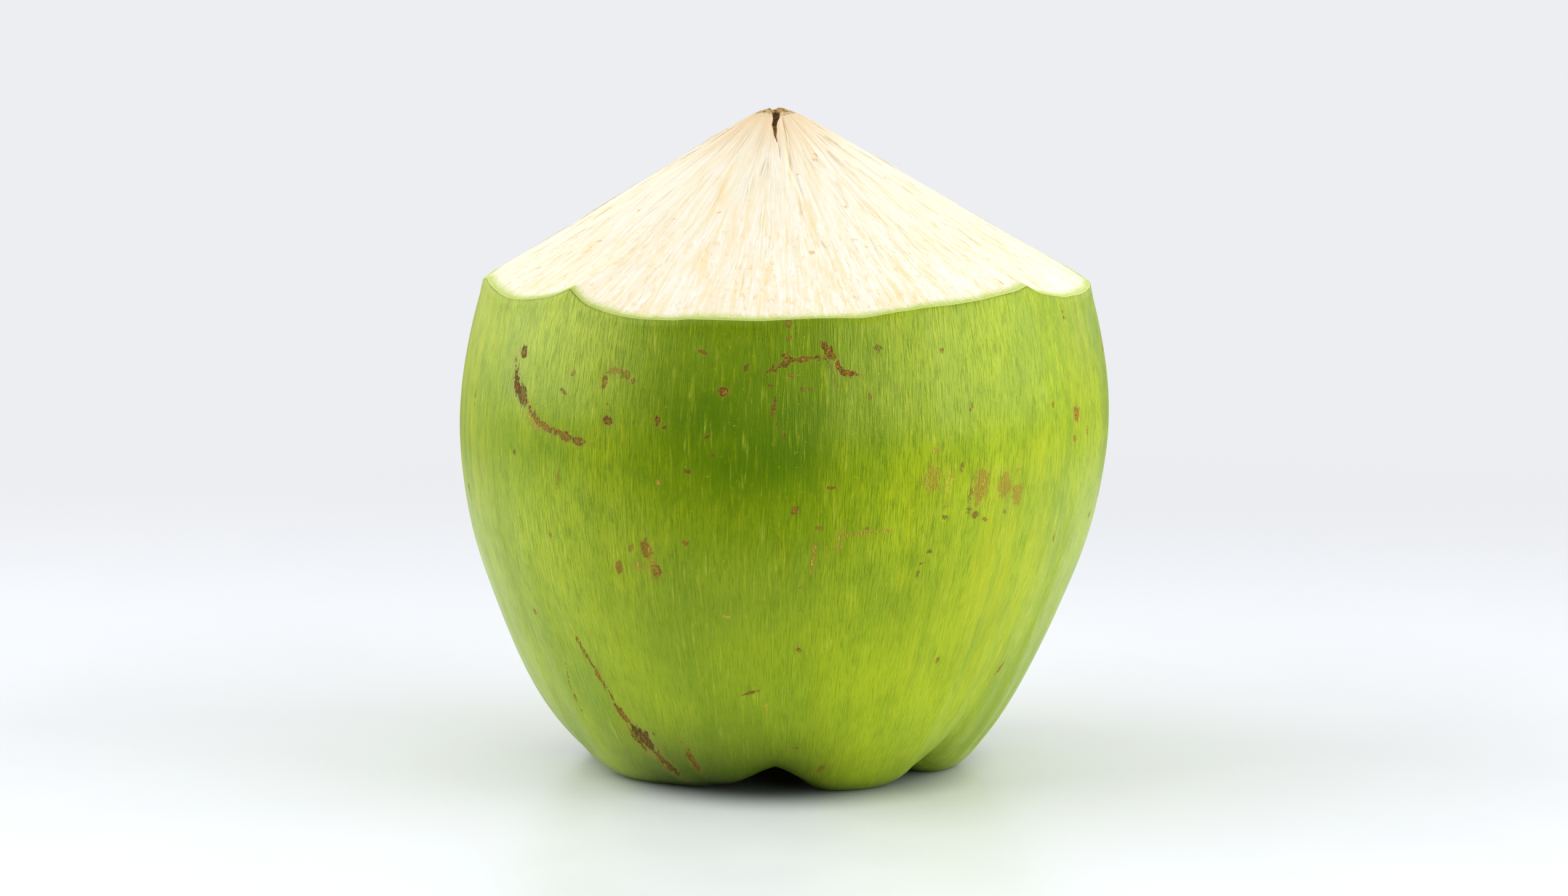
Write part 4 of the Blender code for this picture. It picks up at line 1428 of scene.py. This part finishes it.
# --------------------------------------------------------------------- stage
FLOOR_RADIUS = 12.0
LIT_FROM = 0.24  # the floor starts to fade into its own plain light here
LIT_FULL = 0.62
DARK_FRONT = 0.15  # the skin mirrors a dark room from this far in front
CAMERA_TARGET = 72.6 * MM
BACKDROP = (0.845, 0.855, 0.885)
DIM_FLOOR = (0.285, 0.285, 0.285)
DUSTY = (0.85, 0.86, 0.88)
# Colour of the painted contact shadow under the fruit.
PAINTED_CONTACT_SHADOW = (0.09, 0.11, 0.08)


def floor_material(settings):
    """Pale satin floor that fades into an evenly lit one away from the fruit.

    It has a painted shadow under the fruit. The camera sees the far floor glow,
    and the fruit mirrors a dim one, which is black in front of the fruit.
    """
    material, board, shader = new_material("floor")
    place = board.place()
    y = board.split(place)[1]
    seen = board.add("ShaderNodeLightPath").outputs["Is Camera Ray"]
    in_front = board.between(y, -DARK_FRONT, -DARK_FRONT - 0.05)
    dust = board.noise(place, 30.0, 3.0)
    pale = board.mix(board.between(dust, 0.3, 0.7, 0.0, 0.25), settings.floor, DUSTY)
    away = board.length(board.scaled(place, (1.3, 1.0, 1.0)))
    # Painted contact shadow: the floor is painted dark close round the fruit.
    under = board.between(away, 38.0 * MM, 67.0 * MM, 0.85, 0.0)
    pale = board.mix(under, pale, PAINTED_CONTACT_SHADOW)
    hidden = board.times(in_front, board.maths("SUBTRACT", 1.0, seen))
    board.put(shader.inputs["Base Color"], board.mix(hidden, pale, (0.02, 0.02, 0.02)))
    board.put(shader.inputs["Roughness"], board.between(dust, 0.3, 0.7, 0.30, 0.36))
    shader.inputs["Specular IOR Level"].default_value = 0.4
    mirrored = board.either(in_front, board.glow(DIM_FLOOR), board.glow((0.0, 0.0, 0.0)))
    lit = board.either(seen, mirrored, board.glow(BACKDROP))
    far = board.between(board.length(place), LIT_FROM, LIT_FULL)
    output = material.node_tree.nodes["Material Output"]
    board.put(output.inputs["Surface"], board.either(far, shader.outputs[0], lit))
    return material


def add_floor(settings):
    """A flat round floor: rings of growing radius about the origin."""
    columns = 96
    radii = np.array([0.1, 0.25, 0.6, 1.5, 4.0, FLOOR_RADIUS])[:, None]
    angle = np.arange(columns) / columns * TURN
    x, y = radii * np.cos(angle), radii * np.sin(angle)
    rings = np.stack([x, y, np.zeros_like(x)], axis=-1)
    points = np.vstack([np.zeros(3), rings.reshape(-1, 3)])
    here = np.arange(columns)
    after = (here + 1) % columns
    first = 1 + np.arange(len(radii) - 1)[:, None] * columns
    last = first + columns
    quads = np.stack([first + here, last + here, last + after, first + after], axis=-1)
    fan = np.column_stack([np.zeros(columns, int), 1 + here, 1 + after])
    mesh = bpy.data.meshes.new("floor")
    mesh.from_pydata(points.tolist(), [], quads.reshape(-1, 4).tolist() + fan.tolist())
    mesh.materials.append(floor_material(settings))
    floor = bpy.data.objects.new("floor", mesh)
    bpy.context.scene.collection.objects.link(floor)


def aim(thing, target):
    """Turns a lamp or camera so that it looks at a point."""
    way = Vector(target) - thing.location
    thing.rotation_euler = way.to_track_quat("-Z", "Y").to_euler()


def add_softbox(name, degrees, elevation, width, height, power):
    """A soft rectangle of light, a metre from the middle of the fruit."""
    light = bpy.data.lights.new(name, "AREA")
    light.shape = "RECTANGLE"
    light.size = width
    light.size_y = height
    light.energy = power
    lamp = bpy.data.objects.new(name, light)
    turned, up = math.radians(degrees), math.radians(elevation)
    middle = Vector((0.0, 0.0, 0.5 * TIP_HEIGHT))
    across = math.cos(up)
    lamp.location = middle + Vector(
        (math.sin(turned) * across, -math.cos(turned) * across, math.sin(up))
    )
    aim(lamp, middle)
    lamp.visible_camera = False
    bpy.context.scene.collection.objects.link(lamp)


def add_world():
    """Pale to the camera, and for light a room that is bright behind and dim in front."""
    world = bpy.data.worlds.new("room")
    bpy.context.scene.world = world
    world.use_nodes = True
    board = Board(world.node_tree)
    way = board.split(board.add("ShaderNodeTexCoord").outputs["Generated"])
    behind = board.between(way[1], -0.2, 0.6, 0.0, 0.81)
    bright = board.plus(behind, board.between(way[2], 0.2, 0.9, 0.0, 0.19))
    colour = board.mix(bright, (0.0, 0.0, 0.0), (1.0, 1.0, 1.0))
    seen = board.add("ShaderNodeLightPath").outputs["Is Camera Ray"]
    background = world.node_tree.nodes["Background"]
    board.put(background.inputs["Color"], board.mix(seen, colour, BACKDROP))


def add_camera(settings):
    """The camera in front of the fruit, a little over the horizon."""
    data = bpy.data.cameras.new("camera")
    data.lens = settings.lens
    data.sensor_width = 36.0
    data.clip_start = 0.01
    data.clip_end = 50.0
    camera = bpy.data.objects.new("camera", data)
    target = Vector((0.0, 0.0, CAMERA_TARGET))
    up = settings.elevation
    camera.location = target + settings.distance * Vector((0.0, -math.cos(up), math.sin(up)))
    aim(camera, target)
    bpy.context.scene.collection.objects.link(camera)
    bpy.context.scene.camera = camera


class GREEN_COCONUT_OT_add_stage(bpy.types.Operator):
    """Add the floor, the soft lights and the camera"""

    bl_idname = "green_coconut.add_stage"
    bl_label = "Stage"

    def execute(self, context):
        settings = context.scene.coconut_stage
        add_floor(settings)
        add_softbox("left_softbox", -86.0, 26.0, 1.25, 0.9, settings.left_power)
        add_softbox("right_softbox", 76.0, 22.0, 0.90, 0.9, settings.right_power)
        add_softbox("front_fill", 38.0, 10.0, 0.80, 0.45, settings.fill_power)
        add_softbox("top_softbox", 0.0, 75.0, 0.9, 0.7, settings.top_power)
        add_world()
        add_camera(settings)
        context.scene.view_settings.view_transform = "Standard"
        return {"FINISHED"}


# --------------------------------------------------------------------- panel
class GREEN_COCONUT_PT_sidebar(bpy.types.Panel):
    """The coconut's pieces and settings in the sidebar of the 3D view"""

    bl_idname = "GREEN_COCONUT_PT_sidebar"
    bl_label = "Green Coconut"
    bl_space_type = "VIEW_3D"
    bl_region_type = "UI"
    bl_category = "Coconut"

    def draw(self, context):
        groups = (
            (context.scene.coconut_rind, (GREEN_COCONUT_OT_add_rind,)),
            (
                context.scene.coconut_husk,
                (GREEN_COCONUT_OT_add_husk, GREEN_COCONUT_OT_add_loose_strands),
            ),
            (context.scene.coconut_stage, (GREEN_COCONUT_OT_add_stage,)),
        )
        for settings, operators in groups:
            box = self.layout.box()
            for operator in operators:
                box.operator(operator.bl_idname)
            for name in type(settings).__annotations__:
                box.prop(settings, name)


SETTINGS = {
    "coconut_rind": RindSettings,
    "coconut_husk": HuskSettings,
    "coconut_stage": StageSettings,
}
CLASSES = (
    *SETTINGS.values(),
    GREEN_COCONUT_OT_add_rind,
    GREEN_COCONUT_OT_add_husk,
    GREEN_COCONUT_OT_add_loose_strands,
    GREEN_COCONUT_OT_add_stage,
    GREEN_COCONUT_PT_sidebar,
)


def register():
    for each in CLASSES:
        bpy.utils.register_class(each)
    for name, group in SETTINGS.items():
        setattr(bpy.types.Scene, name, bpy.props.PointerProperty(type=group))


def unregister():
    for name in SETTINGS:
        delattr(bpy.types.Scene, name)
    for each in reversed(CLASSES):
        bpy.utils.unregister_class(each)


def main():
    register()
    bpy.ops.green_coconut.add_rind()
    bpy.ops.green_coconut.add_husk()
    bpy.ops.green_coconut.add_loose_strands()
    bpy.ops.green_coconut.add_stage()


if __name__ == "__main__":
    main()
